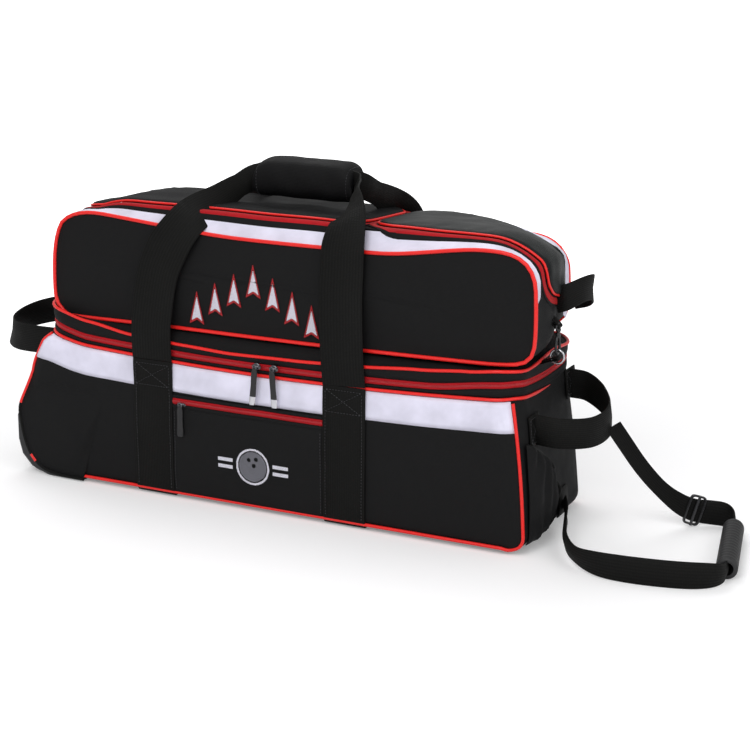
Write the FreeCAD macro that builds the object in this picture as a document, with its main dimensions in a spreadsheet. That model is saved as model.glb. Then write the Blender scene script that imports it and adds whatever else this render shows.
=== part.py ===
import FreeCAD, Part
import math
import os
import Sketcher
from FreeCAD import Placement, Rotation, Vector

# Rolling bag for three bowling balls with a shoe bag on its lid. Millimetres, +Z up, +X towards the tow
# strap, front face towards -Y. The origin is on the floor under the middle of the bag.

doc = FreeCAD.newDocument("RollingBowlingBag")

sizes = {
    "baseLeft": -374.0,
    "baseRight": 392.0,
    "rimLeft": -331.0,
    "rimRight": 375.0,
    "halfDepth": 123.5,
    "underside": 6.0,
    "rimHigh": 209.0,
    "rimSag": 13.0,
    "wall": 4.0,
    "cornerRadius": 34.0,
    "footRadius": 10.0,
    "floorInside": 10.0,
    "zipHeight": 7.0,
    "zipGap": 0.6,
    "lidTop": 240.0,
    "lidGauge": 3.0,
    "stripeHeight": 44.0,
    "stripeGauge": 1.0,
    "pipeWidth": 4.0,
    "pipeProud": 3.0,
    "shoeLeft": -319.0,
    "shoeRight": 386.0,
    "shoeBottom": 241.0,
    "shoePanelTop": 386.0,
    "shoeTop": 402.0,
    "shoeHalfDepth": 112.0,
    "shoeTopHalf": 98.0,
    "backDrop": 14.0,
    "shoeCorner": 26.0,
    "flapGauge": 6.0,
    "flapZipHeight": 2.2,
    "flapHalfDepth": 92.0,
    "leftFlapStart": -292.0,
    "leftFlapEnd": 136.0,
    "rightFlapStart": 152.0,
    "rightFlapEnd": 364.0,
    "flapCorner": 40.0,
    "strapWidth": 62.0,
    "strapGauge": 2.4,
    "strapSpacing": 146.0,
    "strapCentre": -9.0,
    "housingLeft": -389.0,
    "housingInner": -279.0,
    "housingTop": 117.0,
    "housingDepth": 41.0,
    "wheelRadius": 37.5,
    "wheelWidth": 24.0,
    "wheelClear": 3.0,
    "wheelX": -351.0,
    "hubRadius": 26.0,
    "axleRadius": 4.0,
    "boreClear": 0.05,
    "gripLeft": -58.0,
    "gripRight": 92.0,
    "gripHigh": 472.0,
    "gripLow": 422.0,
    "gripFront": -37.0,
    "gripBack": 7.0,
    "ballPitch": 232.0,
    "ballRadius": 109.0,
    "trayHeight": 34.0,
    "grabWidth": 40.0,
    "grabGauge": 2.6,
    "sliderLength": 13.0,
    "sliderGauge": 6.0,
    "pullLength": 54.0,
    "pullWidth": 9.0,
    "pullGauge": 2.6,
    "ringRadius": 9.0,
    "ringWire": 1.6,
    "tubeRadius": 14.0,
    "towWidth": 36.0,
    "towGauge": 2.0,
}

sheet = doc.addObject("Spreadsheet::Sheet", "Sizes")
for row, (name, value) in enumerate(sizes.items(), start=1):
    sheet.set(f"A{row}", name)
    sheet.set(f"B{row}", str(value))
    sheet.setAlias(f"B{row}", name)
doc.recompute()

parts = []


# A length taken from the sheet, as its value and its expression.
def at(name, shift=0.0, scale=1.0):
    return (scale * sizes[name] + shift, f"{scale} * Sizes.{name} + {shift}")


# Offset of a sketch plane that lies proud of the front (-1) or back (+1) face.
def facePlane(side, proud, name="halfDepth"):
    return (-side * (sizes[name] + proud), f"{-side} * (Sizes.{name} + {proud})")


def bind(target, prop, length):
    setattr(target, prop, length[0])
    target.setExpression(prop, length[1])


def keep(item, label):
    item.Label = label
    parts.append(item)
    return item


def newBody(label):
    body = doc.addObject("PartDesign::Body", label.title().replace("_", ""))
    return keep(body, label)


# A body that is only a step on the way to a sub-part.
def newBlock(name):
    return doc.addObject("PartDesign::Body", name)


def sketchOn(body, role, offset=None):
    plane = [f for f in body.Origin.OriginFeatures if f.Role == role][0]
    sketch = body.newObject("Sketcher::SketchObject", "Sketch")
    sketch.AttachmentSupport = (plane, [""])
    sketch.MapMode = "FlatFace"
    if offset is not None:
        sketch.AttachmentOffset = Placement(Vector(0, 0, offset[0]), Rotation())
        sketch.setExpression("AttachmentOffset.Base.z", offset[1])
    return sketch


def asLength(value):
    return value if isinstance(value, tuple) else (float(value), None)


# Closed loop of lines, with an arc hanging by the given sag on the edges named in sags.
def outline(sketch, corners, sags=()):
    first = sketch.GeometryCount
    corners = [(asLength(x), asLength(y)) for x, y in corners]
    count = len(corners)
    sags = dict(sags)
    for i, (x, y) in enumerate(corners):
        nextX, nextY = corners[(i + 1) % count]
        start = Vector(x[0], y[0], 0)
        end = Vector(nextX[0], nextY[0], 0)
        if i in sags:
            middle = (start + end) * 0.5 - Vector(0, sags[i], 0)
            left, right = sorted((start, end), key=lambda point: point.x)
            sketch.addGeometry(Part.Arc(left, middle, right), False)
        else:
            sketch.addGeometry(Part.LineSegment(start, end), False)
    ends = []
    for i, (x, y) in enumerate(corners):
        curve = sketch.Geometry[first + i]
        reach = Vector(x[0], y[0], 0) - curve.StartPoint
        ends.append((1, 2) if reach.Length < 1e-6 else (2, 1))
    for i, (x, y) in enumerate(corners):
        after = (i + 1) % count
        sketch.addConstraint(
            Sketcher.Constraint("Coincident", first + i, ends[i][1], first + after, ends[after][0])
        )
    for i, (x, y) in enumerate(corners):
        for kind, length in (("DistanceX", x), ("DistanceY", y)):
            index = sketch.addConstraint(
                Sketcher.Constraint(kind, -1, 1, first + i, ends[i][0], length[0])
            )
            if length[1]:
                sketch.setExpression(f"Constraints[{index}]", length[1])


def circle(sketch, x, y, radius):
    index = sketch.addGeometry(Part.Circle(Vector(x[0], y[0], 0), Vector(0, 0, 1), radius[0]), False)
    for kind, length in (("DistanceX", x), ("DistanceY", y)):
        row = sketch.addConstraint(Sketcher.Constraint(kind, -1, 1, index, 3, length[0]))
        if length[1]:
            sketch.setExpression(f"Constraints[{row}]", length[1])
    row = sketch.addConstraint(Sketcher.Constraint("Radius", index, radius[0]))
    sketch.setExpression(f"Constraints[{row}]", radius[1])


def pad(body, sketch, length, middle=False, reverse=False):
    feature = body.newObject("PartDesign::Pad", "Pad")
    feature.Profile = sketch
    feature.Midplane = middle
    feature.Reversed = reverse
    bind(feature, "Length", length)
    doc.recompute()
    return feature


def pocket(body, sketch, length, middle=False, reverse=False):
    before = body.Shape.Volume
    feature = body.newObject("PartDesign::Pocket", "Pocket")
    feature.Profile = sketch
    feature.Midplane = middle
    feature.Reversed = reverse
    bind(feature, "Length", length)
    doc.recompute()
    if not body.Shape.Volume < before - 1.0:
        raise RuntimeError(f"{body.Label}: a pocket removes nothing")
    return feature


def fillet(body, test, radius):
    base = body.Tip
    names = [f"Edge{i + 1}" for i, edge in enumerate(base.Shape.Edges) if test(edge)]
    if not names:
        raise RuntimeError(f"{body.Label}: no edge to round")
    feature = body.newObject("PartDesign::Fillet", "Fillet")
    feature.Base = (base, names)
    bind(feature, "Radius", radius)
    doc.recompute()
    return feature


# True where an edge runs along one axis within a tenth.
def along(edge, axis, least=0.0):
    start = edge.Vertexes[0].Point
    end = edge.Vertexes[-1].Point
    run = end - start
    return run.Length > least and abs(run[axis]) > 0.9 * run.Length


def upright(edge):
    return along(edge, 2, 3.0)


def crosswise(edge):
    return along(edge, 1, 1.0)


# How far each end leans in for every millimetre of height.
rise = sizes["rimHigh"] - sizes["underside"]
leanRight = (sizes["baseRight"] - sizes["rimRight"]) / rise
leanLeft = (sizes["rimLeft"] - sizes["baseLeft"]) / rise


# Front view of a slice that follows the sagging rim, from below it to above it.
def rimBand(below, above):
    sag = sizes["rimSag"]
    return (
        [
            (at("rimLeft", -leanRight * below), at("rimHigh", below)),
            (at("rimRight", -leanRight * below), at("rimHigh", below)),
            (at("rimRight", -leanRight * above), at("rimHigh", above)),
            (at("rimLeft", -leanRight * above), at("rimHigh", above)),
        ],
        ((0, sag), (2, sag)),
    )


# Takes a core with rounded corners out of a block and keeps what is left as one sub-part.
def hollowed(label, block, corners, reach, radius, rounded=upright):
    core = newBlock("Core")
    sketch = sketchOn(core, "XZ_Plane")
    outline(sketch, corners)
    pad(core, sketch, reach, middle=True)
    fillet(core, rounded, radius)
    cut = doc.addObject("Part::Cut", label.title().replace("_", ""))
    cut.Base = block
    cut.Tool = core
    doc.recompute()
    return keep(cut, label)


# Upright block between two positions on each axis.
def boxPart(label, x, y, z):
    block = doc.addObject("Part::Box", label.title().replace("_", ""))
    spans = [tuple(asLength(v) for v in pair) for pair in (x, y, z)]
    for prop, (low, high) in zip(("Length", "Width", "Height"), spans):
        setattr(block, prop, high[0] - low[0])
        if low[1] or high[1]:
            block.setExpression(prop, f"({high[1] or high[0]}) - ({low[1] or low[0]})")
    block.Placement = Placement(Vector(*[low[0] for low, high in spans]), Rotation())
    for name, (low, high) in zip("xyz", spans):
        if low[1]:
            block.setExpression(f"Placement.Base.{name}", low[1])
    doc.recompute()
    return block


def freeForm(label, shape):
    item = doc.addObject("Part::Feature", label.title().replace("_", ""))
    item.Shape = shape
    return keep(item, label)


# Flat webbing laid through stations, each a centre, a hint for the direction of its width and a share of
# that width.
def ribbon(stations, width, gauge):
    centres = [Vector(*centre) for centre, hint, share in stations]
    rings = []
    for i, (centre, hint, share) in enumerate(stations):
        heading = centres[min(i + 1, len(centres) - 1)] - centres[max(i - 1, 0)]
        heading.normalize()
        hint = Vector(*hint)
        if 0 < i < len(centres) - 1:
            hint = hint - heading * hint.dot(heading)
        hint.normalize()
        through = heading.cross(hint).normalize() * (gauge / 2)
        across = hint * (width * share / 2)
        rings.append([centres[i] - across - through, centres[i] + across - through,
                      centres[i] + across + through, centres[i] - across + through])
    corners = []
    for near, far in zip(rings[:-1], rings[1:]):
        for k in range(4):
            after = (k + 1) % 4
            corners.append((near[k], near[after], far[after]))
            corners.append((near[k], far[after], far[k]))
    for ring in (rings[0], rings[-1]):
        corners.append((ring[0], ring[1], ring[2]))
        corners.append((ring[0], ring[2], ring[3]))
    faces = [Part.Face(Part.makePolygon([p, q, r, p])) for p, q, r in corners]
    solid = Part.makeSolid(Part.makeShell(faces))
    if solid.Volume < 0:
        solid.reverse()
    return solid


def bothSides(sign, label):
    return f"{'front' if sign < 0 else 'back'}_{label}"


# Ball bag body: an open padded tub with slanting ends and two wheel recesses. Its front corners are close
# at the base and open out towards the rim.
tubBase = newBlock("TubBase")
sketch = sketchOn(tubBase, "XZ_Plane")
outline(
    sketch,
    [
        (at("baseLeft"), at("underside")),
        (at("baseRight"), at("underside")),
        (at("rimRight"), at("rimHigh")),
        (at("rimLeft"), at("rimHigh")),
    ],
    ((2, sizes["rimSag"]),),
)
pad(tubBase, sketch, at("halfDepth", 0, 2.0), middle=True)
tubRounded = doc.addObject("Part::Fillet", "TubRounded")
tubRounded.Base = tubBase
tubCorners = []
for i, edge in enumerate(tubBase.Shape.Edges):
    if upright(edge):
        foot = sizes["footRadius"] if edge.CenterOfMass.y < 0 else sizes["cornerRadius"]
        ends = (foot, sizes["cornerRadius"])
        if edge.Vertexes[0].Z > edge.Vertexes[-1].Z:
            ends = ends[::-1]
        tubCorners.append((i + 1, *ends))
tubRounded.Edges = tubCorners
recesses = []
for side in (-1, 1):
    near = sizes["halfDepth"] + 1.5 - sizes["housingDepth"]
    far = sizes["halfDepth"] + 5
    recesses.append(boxPart(
        "WheelRecess", (at("housingLeft", -10), at("housingInner")),
        tuple(sorted((side * near, side * far))), (-1.0, at("housingTop")),
    ))
wells = doc.addObject("Part::MultiFuse", "WheelWells")
wells.Shapes = recesses
tubBlock = doc.addObject("Part::Cut", "TubBlock")
tubBlock.Base = tubRounded
tubBlock.Tool = wells
doc.recompute()
wall = sizes["wall"]
hollowed(
    "ball_bag_body",
    tubBlock,
    [
        (at("baseLeft", wall), at("floorInside")),
        (at("baseRight", -wall), at("floorInside")),
        (at("rimRight", -wall - 30 * leanRight), at("rimHigh", 30)),
        (at("rimLeft", wall + 30 * leanLeft), at("rimHigh", 30)),
    ],
    at("halfDepth", -2 * wall, 2.0),
    at("cornerRadius", -wall),
)

# Stiff board on the floor of the tub, with its corners cut back round the wheel recesses.
board = newBody("base_board")
sketch = sketchOn(board, "XY_Plane", at("floorInside"))
inner = sizes["halfDepth"] - sizes["housingDepth"] - 1
outline(
    sketch,
    [
        (at("housingInner", -80), -inner),
        (at("housingInner", 2), -inner),
        (at("housingInner", 2), at("halfDepth", 6, -1.0)),
        (at("baseRight", -10), at("halfDepth", 6, -1.0)),
        (at("baseRight", -10), at("halfDepth", -6)),
        (at("housingInner", 2), at("halfDepth", -6)),
        (at("housingInner", 2), inner),
        (at("housingInner", -80), inner),
    ],
)
pad(board, sketch, (4.0, "4"))
fillet(board, lambda edge: along(edge, 2, 1.0) and edge.CenterOfMass.x > 300, at("cornerRadius"))

# Foam tray with one cup for each ball.
tray = boxPart("TrayBlock", (-322.0, 368.0), (-80.0, 80.0), (14.0, 14.0 + sizes["trayHeight"]))
tray.setExpression("Height", "Sizes.trayHeight")
balls = []
for index in (-1, 0, 1):
    ball = doc.addObject("Part::Sphere", f"BallSpace{index + 2}")
    bind(ball, "Radius", at("ballRadius"))
    middle = Vector(10 + index * sizes["ballPitch"], 0, 18 + sizes["ballRadius"])
    ball.Placement = Placement(middle, Rotation())
    ball.setExpression("Placement.Base.x", f"10 + {index} * Sizes.ballPitch")
    ball.setExpression("Placement.Base.z", "18 + Sizes.ballRadius")
    balls.append(ball)
spaces = doc.addObject("Part::MultiFuse", "BallSpaces")
spaces.Shapes = balls
cups = doc.addObject("Part::Cut", "FoamTray")
cups.Base = tray
cups.Tool = spaces
keep(cups, "foam_ball_tray")

# Padded dividers between the balls, standing on the tray.
dividers = newBody("ball_dividers")
sketch = sketchOn(dividers, "XZ_Plane")
for index in (-0.5, 0.5):
    centre = 10 + index * sizes["ballPitch"]
    outline(
        sketch,
        [
            (centre - 4, at("trayHeight", 14)),
            (centre + 4, at("trayHeight", 14)),
            (centre + 4, 178.0),
            (centre - 4, 178.0),
        ],
    )
pad(dividers, sketch, at("halfDepth", -9, 2.0), middle=True)
fillet(dividers, lambda edge: along(edge, 0, 3.0) and edge.CenterOfMass.z > 150, (30.0, "30"))

# Front and back faces: white stripe, red piping round the panel and the sewn runs of the carry straps.
for side in (-1, 1):
    stripe = newBody(bothSides(side, "stripe"))
    sketch = sketchOn(stripe, "XZ_Plane", facePlane(side, 0))
    high = sizes["stripeHeight"]
    outline(
        sketch,
        [
            (at("rimLeft", 36 - leanLeft * high), at("rimHigh", -high - 6)),
            (at("rimRight", -36 + leanRight * high), at("rimHigh", -high - 6)),
            (at("rimRight", -36), at("rimHigh", -6)),
            (at("rimLeft", 36), at("rimHigh", -6)),
        ],
        ((0, sizes["rimSag"]), (2, sizes["rimSag"])),
    )
    pad(stripe, sketch, at("stripeGauge"), reverse=side > 0)

    foot = sizes["footRadius"] + 6 if side < 0 else sizes["cornerRadius"] + 2
    piping = newBody(bothSides(side, "panel_piping"))
    sketch = sketchOn(piping, "XZ_Plane", facePlane(side, 0))
    for inset in (0.0, sizes["pipeWidth"]):
        outline(
            sketch,
            [
                (at("housingInner", 3 + inset), at("underside", 1 + inset)),
                (at("baseRight", -foot - inset), at("underside", 1 + inset)),
                (at("rimRight", -31 - inset), at("rimHigh", -inset)),
                (at("rimLeft", 31 + inset), at("rimHigh", -inset)),
                (at("rimLeft", 14 + inset), at("housingTop", 3 + inset)),
                (at("housingInner", 3 + inset), at("housingTop", 3 + inset)),
            ],
            ((2, sizes["rimSag"]),),
        )
    pad(piping, sketch, at("pipeProud"), reverse=side > 0)
    runs = newBody(bothSides(side, "sewn_straps"))
    sketch = sketchOn(runs, "XZ_Plane", facePlane(side, 4.2))
    half = sizes["strapWidth"] / 2
    sewnTop = -17.5 if side < 0 else -5.5
    for offset in (-1, 1):
        mid = sizes["strapCentre"] + offset * sizes["strapSpacing"]
        outline(
            sketch,
            [
                (mid - half, at("underside", 3)),
                (mid + half, at("underside", 3)),
                (mid + half, at("rimHigh", sewnTop)),
                (mid - half, at("rimHigh", sewnTop)),
            ],
        )
    pad(runs, sketch, at("strapGauge"), reverse=side > 0)

# Zip round the mouth: a lower tape on the tub and an upper tape on the lid, both open along the hinge side.
zipTop = 2 * sizes["zipHeight"] + sizes["zipGap"]
for label, below, above in (
    ("lower", 0.0, sizes["zipHeight"]),
    ("upper", zipTop - sizes["zipHeight"], zipTop),
):
    band = newBlock("BandBlock")
    corners, sags = rimBand(below, above)
    sketch = sketchOn(band, "XZ_Plane")
    outline(sketch, corners, sags)
    pad(band, sketch, at("halfDepth", 0, 2.0), middle=True)
    fillet(band, upright, at("cornerRadius"))
    sketch = sketchOn(band, "XZ_Plane", facePlane(1, -10))
    outline(sketch, [(-280.0, 150.0), (320.0, 150.0), (320.0, 260.0), (-280.0, 260.0)])
    pocket(band, sketch, (30.0, "30"))
    hollowed(
        f"zip_tape_{label}",
        band,
        [
            (at("rimLeft", 2), at("rimHigh", -30)),
            (at("rimRight", -3), at("rimHigh", -30)),
            (at("rimRight", -6), at("rimHigh", 40)),
            (at("rimLeft", 8), at("rimHigh", 40)),
        ],
        at("halfDepth", -8, 2.0),
        at("cornerRadius", -4),
    )

# Front pocket under the stripe, between the straps.
frontPocket = newBody("front_pocket")
sketch = sketchOn(frontPocket, "XZ_Plane", at("halfDepth"))
outline(sketch, [(-124.0, 14.0), (106.0, 14.0), (106.0, 132.0), (-124.0, 132.0)])
pad(frontPocket, sketch, (4.0, "4"))
fillet(frontPocket, lambda edge: abs(edge.CenterOfMass.y + sizes["halfDepth"] + 4) < 0.1, (2.0, "2"))
pocketZip = newBody("front_pocket_zip")
sketch = sketchOn(pocketZip, "XZ_Plane", at("halfDepth"))
outline(sketch, [(-124.0, 133.0), (106.0, 133.0), (106.0, 143.0), (-124.0, 143.0)])
pad(pocketZip, sketch, (1.6, "1.6"))

# Moulded wheel corners at the left end, each with a wheel space, a skirt in front of it and a bored axle pin.
pins = []
for side in (-1, 1):
    corner = newBody(bothSides(side, "wheel_housing"))
    sketch = sketchOn(corner, "XZ_Plane", facePlane(side, 1.5))
    points = [
        (at("housingInner"), 1.0),
        (at("housingLeft", 46), 1.0),
        (at("housingLeft", 22), 9.0),
        (at("housingLeft", 6), 26.0),
        (at("housingLeft"), 48.0),
        (at("housingLeft"), 84.0),
        (at("housingLeft", 8), 104.0),
        (at("housingLeft", 20), at("housingTop")),
        (at("housingInner"), at("housingTop")),
    ]
    outline(sketch, points)
    pad(corner, sketch, at("housingDepth"), reverse=side < 0)
    fillet(corner, lambda edge: abs(abs(edge.CenterOfMass.y) - sizes["halfDepth"] - 1.5) < 0.1
           and edge.CenterOfMass.x < sizes["housingLeft"] + 60 and edge.CenterOfMass.z > 3, (5.0, "5"))
    sketch = sketchOn(corner, "XZ_Plane", facePlane(side, -5.5))
    circle(sketch, at("wheelX"), at("wheelRadius"), at("wheelRadius", sizes["wheelClear"]))
    pocket(corner, sketch, at("wheelWidth", 4), reverse=side > 0)
    sketch = sketchOn(corner, "XZ_Plane", facePlane(side, -3))
    circle(sketch, at("wheelX"), at("wheelRadius"), at("axleRadius"))
    pocket(corner, sketch, at("wheelWidth", 9), reverse=side > 0)

    centre = side * (sizes["halfDepth"] - 5.5 - 2 - sizes["wheelWidth"] / 2)
    pin = doc.addObject("Part::Cylinder", "AxlePin")
    bind(pin, "Radius", at("axleRadius"))
    bind(pin, "Height", at("wheelWidth", 9))
    pin.Placement = Placement(
        Vector(sizes["wheelX"], side * (sizes["halfDepth"] - 3) - (sizes["wheelWidth"] + 9) * (side > 0),
               sizes["wheelRadius"]),
        Rotation(Vector(1, 0, 0), -90),
    )
    pins.append(pin)

    hub = newBody(bothSides(side, "wheel_hub"))
    sketch = sketchOn(hub, "XZ_Plane", (-centre, f"{-centre}"))
    circle(sketch, at("wheelX"), at("wheelRadius"), at("hubRadius"))
    circle(sketch, at("wheelX"), at("wheelRadius"), at("axleRadius", sizes["boreClear"]))
    pad(hub, sketch, at("wheelWidth", -2), middle=True)
    tyre = newBody(bothSides(side, "wheel_tyre"))
    sketch = sketchOn(tyre, "XZ_Plane", (-centre, f"{-centre}"))
    circle(sketch, at("wheelX"), at("wheelRadius"), at("wheelRadius"))
    circle(sketch, at("wheelX"), at("wheelRadius"), at("hubRadius"))
    pad(tyre, sketch, at("wheelWidth"), middle=True)
    fillet(tyre, lambda edge: edge.Curve.Radius > sizes["hubRadius"] + 1 if hasattr(edge.Curve, "Radius")
           else False, (3.0, "3"))


def together(label, items):
    group = doc.addObject("Part::Compound", label.title().replace("_", ""))
    group.Links = items
    return keep(group, label)


together("axle_pins", pins)

# Glide runners that carry the right end.
runners = []
for side in (-1, 1):
    runner = boxPart(
        bothSides(side, "glide"), (230.0, 345.0),
        (side * 70.0 - 12.0, side * 70.0 + 12.0), (0.0, at("underside")),
    )
    rounded = doc.addObject("Part::Fillet", "GlideRounded")
    rounded.Base = runner
    rounded.Edges = [
        (i + 1, 4.0, 4.0) for i, edge in enumerate(runner.Shape.Edges) if edge.CenterOfMass.z < 0.1
    ]
    runners.append(rounded)
together("glide_runners", runners)

# Lid: a shallow cap over the mouth with a piped edge.
lidBlock = newBlock("LidBlock")
lidStart = zipTop + 0.4
sketch = sketchOn(lidBlock, "XZ_Plane")
outline(
    sketch,
    [
        (at("rimLeft"), at("rimHigh", lidStart)),
        (at("rimRight"), at("rimHigh", lidStart)),
        (at("rimRight"), at("lidTop")),
        (at("rimLeft"), at("lidTop")),
    ],
    ((0, sizes["rimSag"]),),
)
pad(lidBlock, sketch, at("halfDepth", 0, 2.0), middle=True)
fillet(lidBlock, upright, at("cornerRadius"))
hollowed(
    "lid",
    lidBlock,
    [
        (at("rimLeft", wall), at("rimHigh", -30)),
        (at("rimRight", -wall), at("rimHigh", -30)),
        (at("rimRight", -wall), at("lidTop", -sizes["lidGauge"])),
        (at("rimLeft", wall), at("lidTop", -sizes["lidGauge"])),
    ],
    at("halfDepth", -2 * wall, 2.0),
    at("cornerRadius", -wall),
)

lidPiping = newBody("lid_piping")
sketch = sketchOn(lidPiping, "XY_Plane", at("lidTop", -5))
for grow in (2.2, 0.0):
    outline(
        sketch,
        [
            (at("rimLeft", -grow), at("halfDepth", -grow, -1.0)),
            (at("rimRight", grow), at("halfDepth", -grow, -1.0)),
            (at("rimRight", grow), at("halfDepth", grow)),
            (at("rimLeft", -grow), at("halfDepth", grow)),
        ],
    )
pad(lidPiping, sketch, (3.6, "3.6"))
fillet(lidPiping, lambda edge: upright(edge) and abs(edge.CenterOfMass.y) < sizes["halfDepth"] + 0.1,
       at("cornerRadius"))
fillet(lidPiping, lambda edge: upright(edge) and abs(edge.CenterOfMass.y) > sizes["halfDepth"] + 0.1,
       at("cornerRadius", 2.2))

# Hinge strip: a band sewn on the back rim, under the lid's back edge.
hinge = newBody("lid_hinge_strip")
corners, sags = rimBand(0.0, lidStart - 1.0)
sketch = sketchOn(hinge, "XZ_Plane", facePlane(1, -3.5))
outline(sketch, corners, sags)
pad(hinge, sketch, (3.5, "3.5"), reverse=True)
sketch = sketchOn(hinge, "XZ_Plane", facePlane(1, -5))
for low, high in ((-420.0, -278.0), (318.0, 420.0)):
    outline(sketch, [(low, 150.0), (high, 150.0), (high, 260.0), (low, 260.0)])
pocket(hinge, sketch, (10.0, "10"))

# Shoe bag: its top falls from the front panel to the lower back panel, and a crown leans in above both
# panels and is open under the flaps.
shoeBox = newBlock("ShoeBox")
sketch = sketchOn(shoeBox, "YZ_Plane", at("shoeLeft"))
outline(
    sketch,
    [
        (at("shoeHalfDepth", 0, -1.0), at("shoeBottom")),
        (at("shoeHalfDepth"), at("shoeBottom")),
        (at("shoeHalfDepth"), at("shoePanelTop", -sizes["backDrop"])),
        (at("shoeHalfDepth", 0, -1.0), at("shoePanelTop")),
    ],
)
pad(shoeBox, sketch, (sizes["shoeRight"] - sizes["shoeLeft"], "Sizes.shoeRight - Sizes.shoeLeft"))
fillet(shoeBox, crosswise, at("shoeCorner"))
crown = newBlock("ShoeCrown")
sketch = sketchOn(crown, "YZ_Plane", at("leftFlapStart", -10))
outline(
    sketch,
    [
        (at("shoeHalfDepth", 0, -1.0), at("shoePanelTop", -40)),
        (at("shoeHalfDepth"), at("shoePanelTop", -40)),
        (at("shoeHalfDepth"), at("shoePanelTop", -sizes["backDrop"])),
        (at("shoeTopHalf"), at("shoeTop", -sizes["backDrop"])),
        (at("shoeTopHalf", 0, -1.0), at("shoeTop")),
        (at("shoeHalfDepth", 0, -1.0), at("shoePanelTop")),
    ],
)
crownLength = sizes["rightFlapEnd"] - sizes["leftFlapStart"] + 20
pad(crown, sketch, (crownLength, "Sizes.rightFlapEnd - Sizes.leftFlapStart + 20"))
fillet(crown, lambda edge: crosswise(edge) and edge.CenterOfMass.z > sizes["shoePanelTop"] + 3, (6.0, "6"))
shoeSolid = doc.addObject("Part::Fuse", "ShoeSolid")
shoeSolid.Base = shoeBox
shoeSolid.Tool = crown
mouths = []
for start, end in (("leftFlapStart", "leftFlapEnd"), ("rightFlapStart", "rightFlapEnd")):
    mouths.append(boxPart(
        "ShoeMouth", (at(start, 8), at(end, -8)), (at("flapHalfDepth", 8, -1.0), at("flapHalfDepth", -8)),
        (at("shoePanelTop", -60), at("shoeTop", 20)),
    ))
opened = doc.addObject("Part::MultiFuse", "ShoeMouths")
opened.Shapes = mouths
shoe = doc.addObject("Part::Cut", "ShoeOpened")
shoe.Base = shoeSolid
shoe.Tool = opened
doc.recompute()
hollowed(
    "shoe_bag_body",
    shoe,
    [
        (at("shoeLeft", wall), at("shoeBottom", 3)),
        (at("shoeRight", -wall), at("shoeBottom", 3)),
        (at("shoeRight", -wall), at("shoePanelTop", -19)),
        (at("shoeLeft", wall), at("shoePanelTop", -19)),
    ],
    at("shoeHalfDepth", -2 * wall, 2.0),
    at("shoeCorner", -wall),
    rounded=crosswise,
)

divider = boxPart("shoe_bag_divider", (at("leftFlapEnd", 6), at("leftFlapEnd", 10)),
                  (at("shoeHalfDepth", 5, -1.0), at("shoeHalfDepth", -5)), (at("shoeBottom", 3), 366.0))
keep(divider, "shoe_bag_divider")


# Distance of an edge from the nearer of two upright sides.
def fromSides(edge, sides):
    return min(abs(edge.CenterOfMass.x - x) for x in sides)


for side in (-1, 1):
    drop = sizes["backDrop"] if side > 0 else 0.0
    gusset = newBody(bothSides(side, "shoe_gusset"))
    sketch = sketchOn(gusset, "YZ_Plane", at("leftFlapStart", -2))
    outer = side * sizes["shoeHalfDepth"]
    inner = side * sizes["shoeTopHalf"]
    skin = side * 0.9
    outline(
        sketch,
        [
            (outer, at("shoePanelTop", 1 - drop)),
            (outer + skin, at("shoePanelTop", 1 - drop)),
            (inner + skin, at("shoeTop", 0.6 - drop)),
            (inner, at("shoeTop", 0.1 - drop)),
        ],
    )
    pad(gusset, sketch, (crownLength - 16, "Sizes.rightFlapEnd - Sizes.leftFlapStart + 4"))
    piping = newBody(bothSides(side, "shoe_piping"))
    sketch = sketchOn(piping, "XZ_Plane", facePlane(side, 0, "shoeHalfDepth"))
    for inset in (0.0, sizes["pipeWidth"]):
        outline(
            sketch,
            [
                (at("shoeLeft", inset), at("shoeBottom", inset)),
                (at("shoeRight", -inset), at("shoeBottom", inset)),
                (at("shoeRight", -inset), at("shoePanelTop", -inset - drop)),
                (at("shoeLeft", inset), at("shoePanelTop", -inset - drop)),
            ],
        )
    pad(piping, sketch, at("pipeProud"), reverse=side > 0)
    outermost = (sizes["shoeLeft"], sizes["shoeRight"])
    fillet(piping, lambda edge: crosswise(edge) and fromSides(edge, outermost) > 1,
           at("shoeCorner", -sizes["pipeWidth"]))
    fillet(piping, lambda edge: crosswise(edge) and fromSides(edge, outermost) < 0.1, at("shoeCorner"))


# True for the upright corner edges of a flap's ring that reaches this far to the front and back.
def cornerAt(edge, reach):
    return along(edge, 2, 1.0) and abs(abs(edge.CenterOfMass.y) - reach) < 0.1


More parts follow.
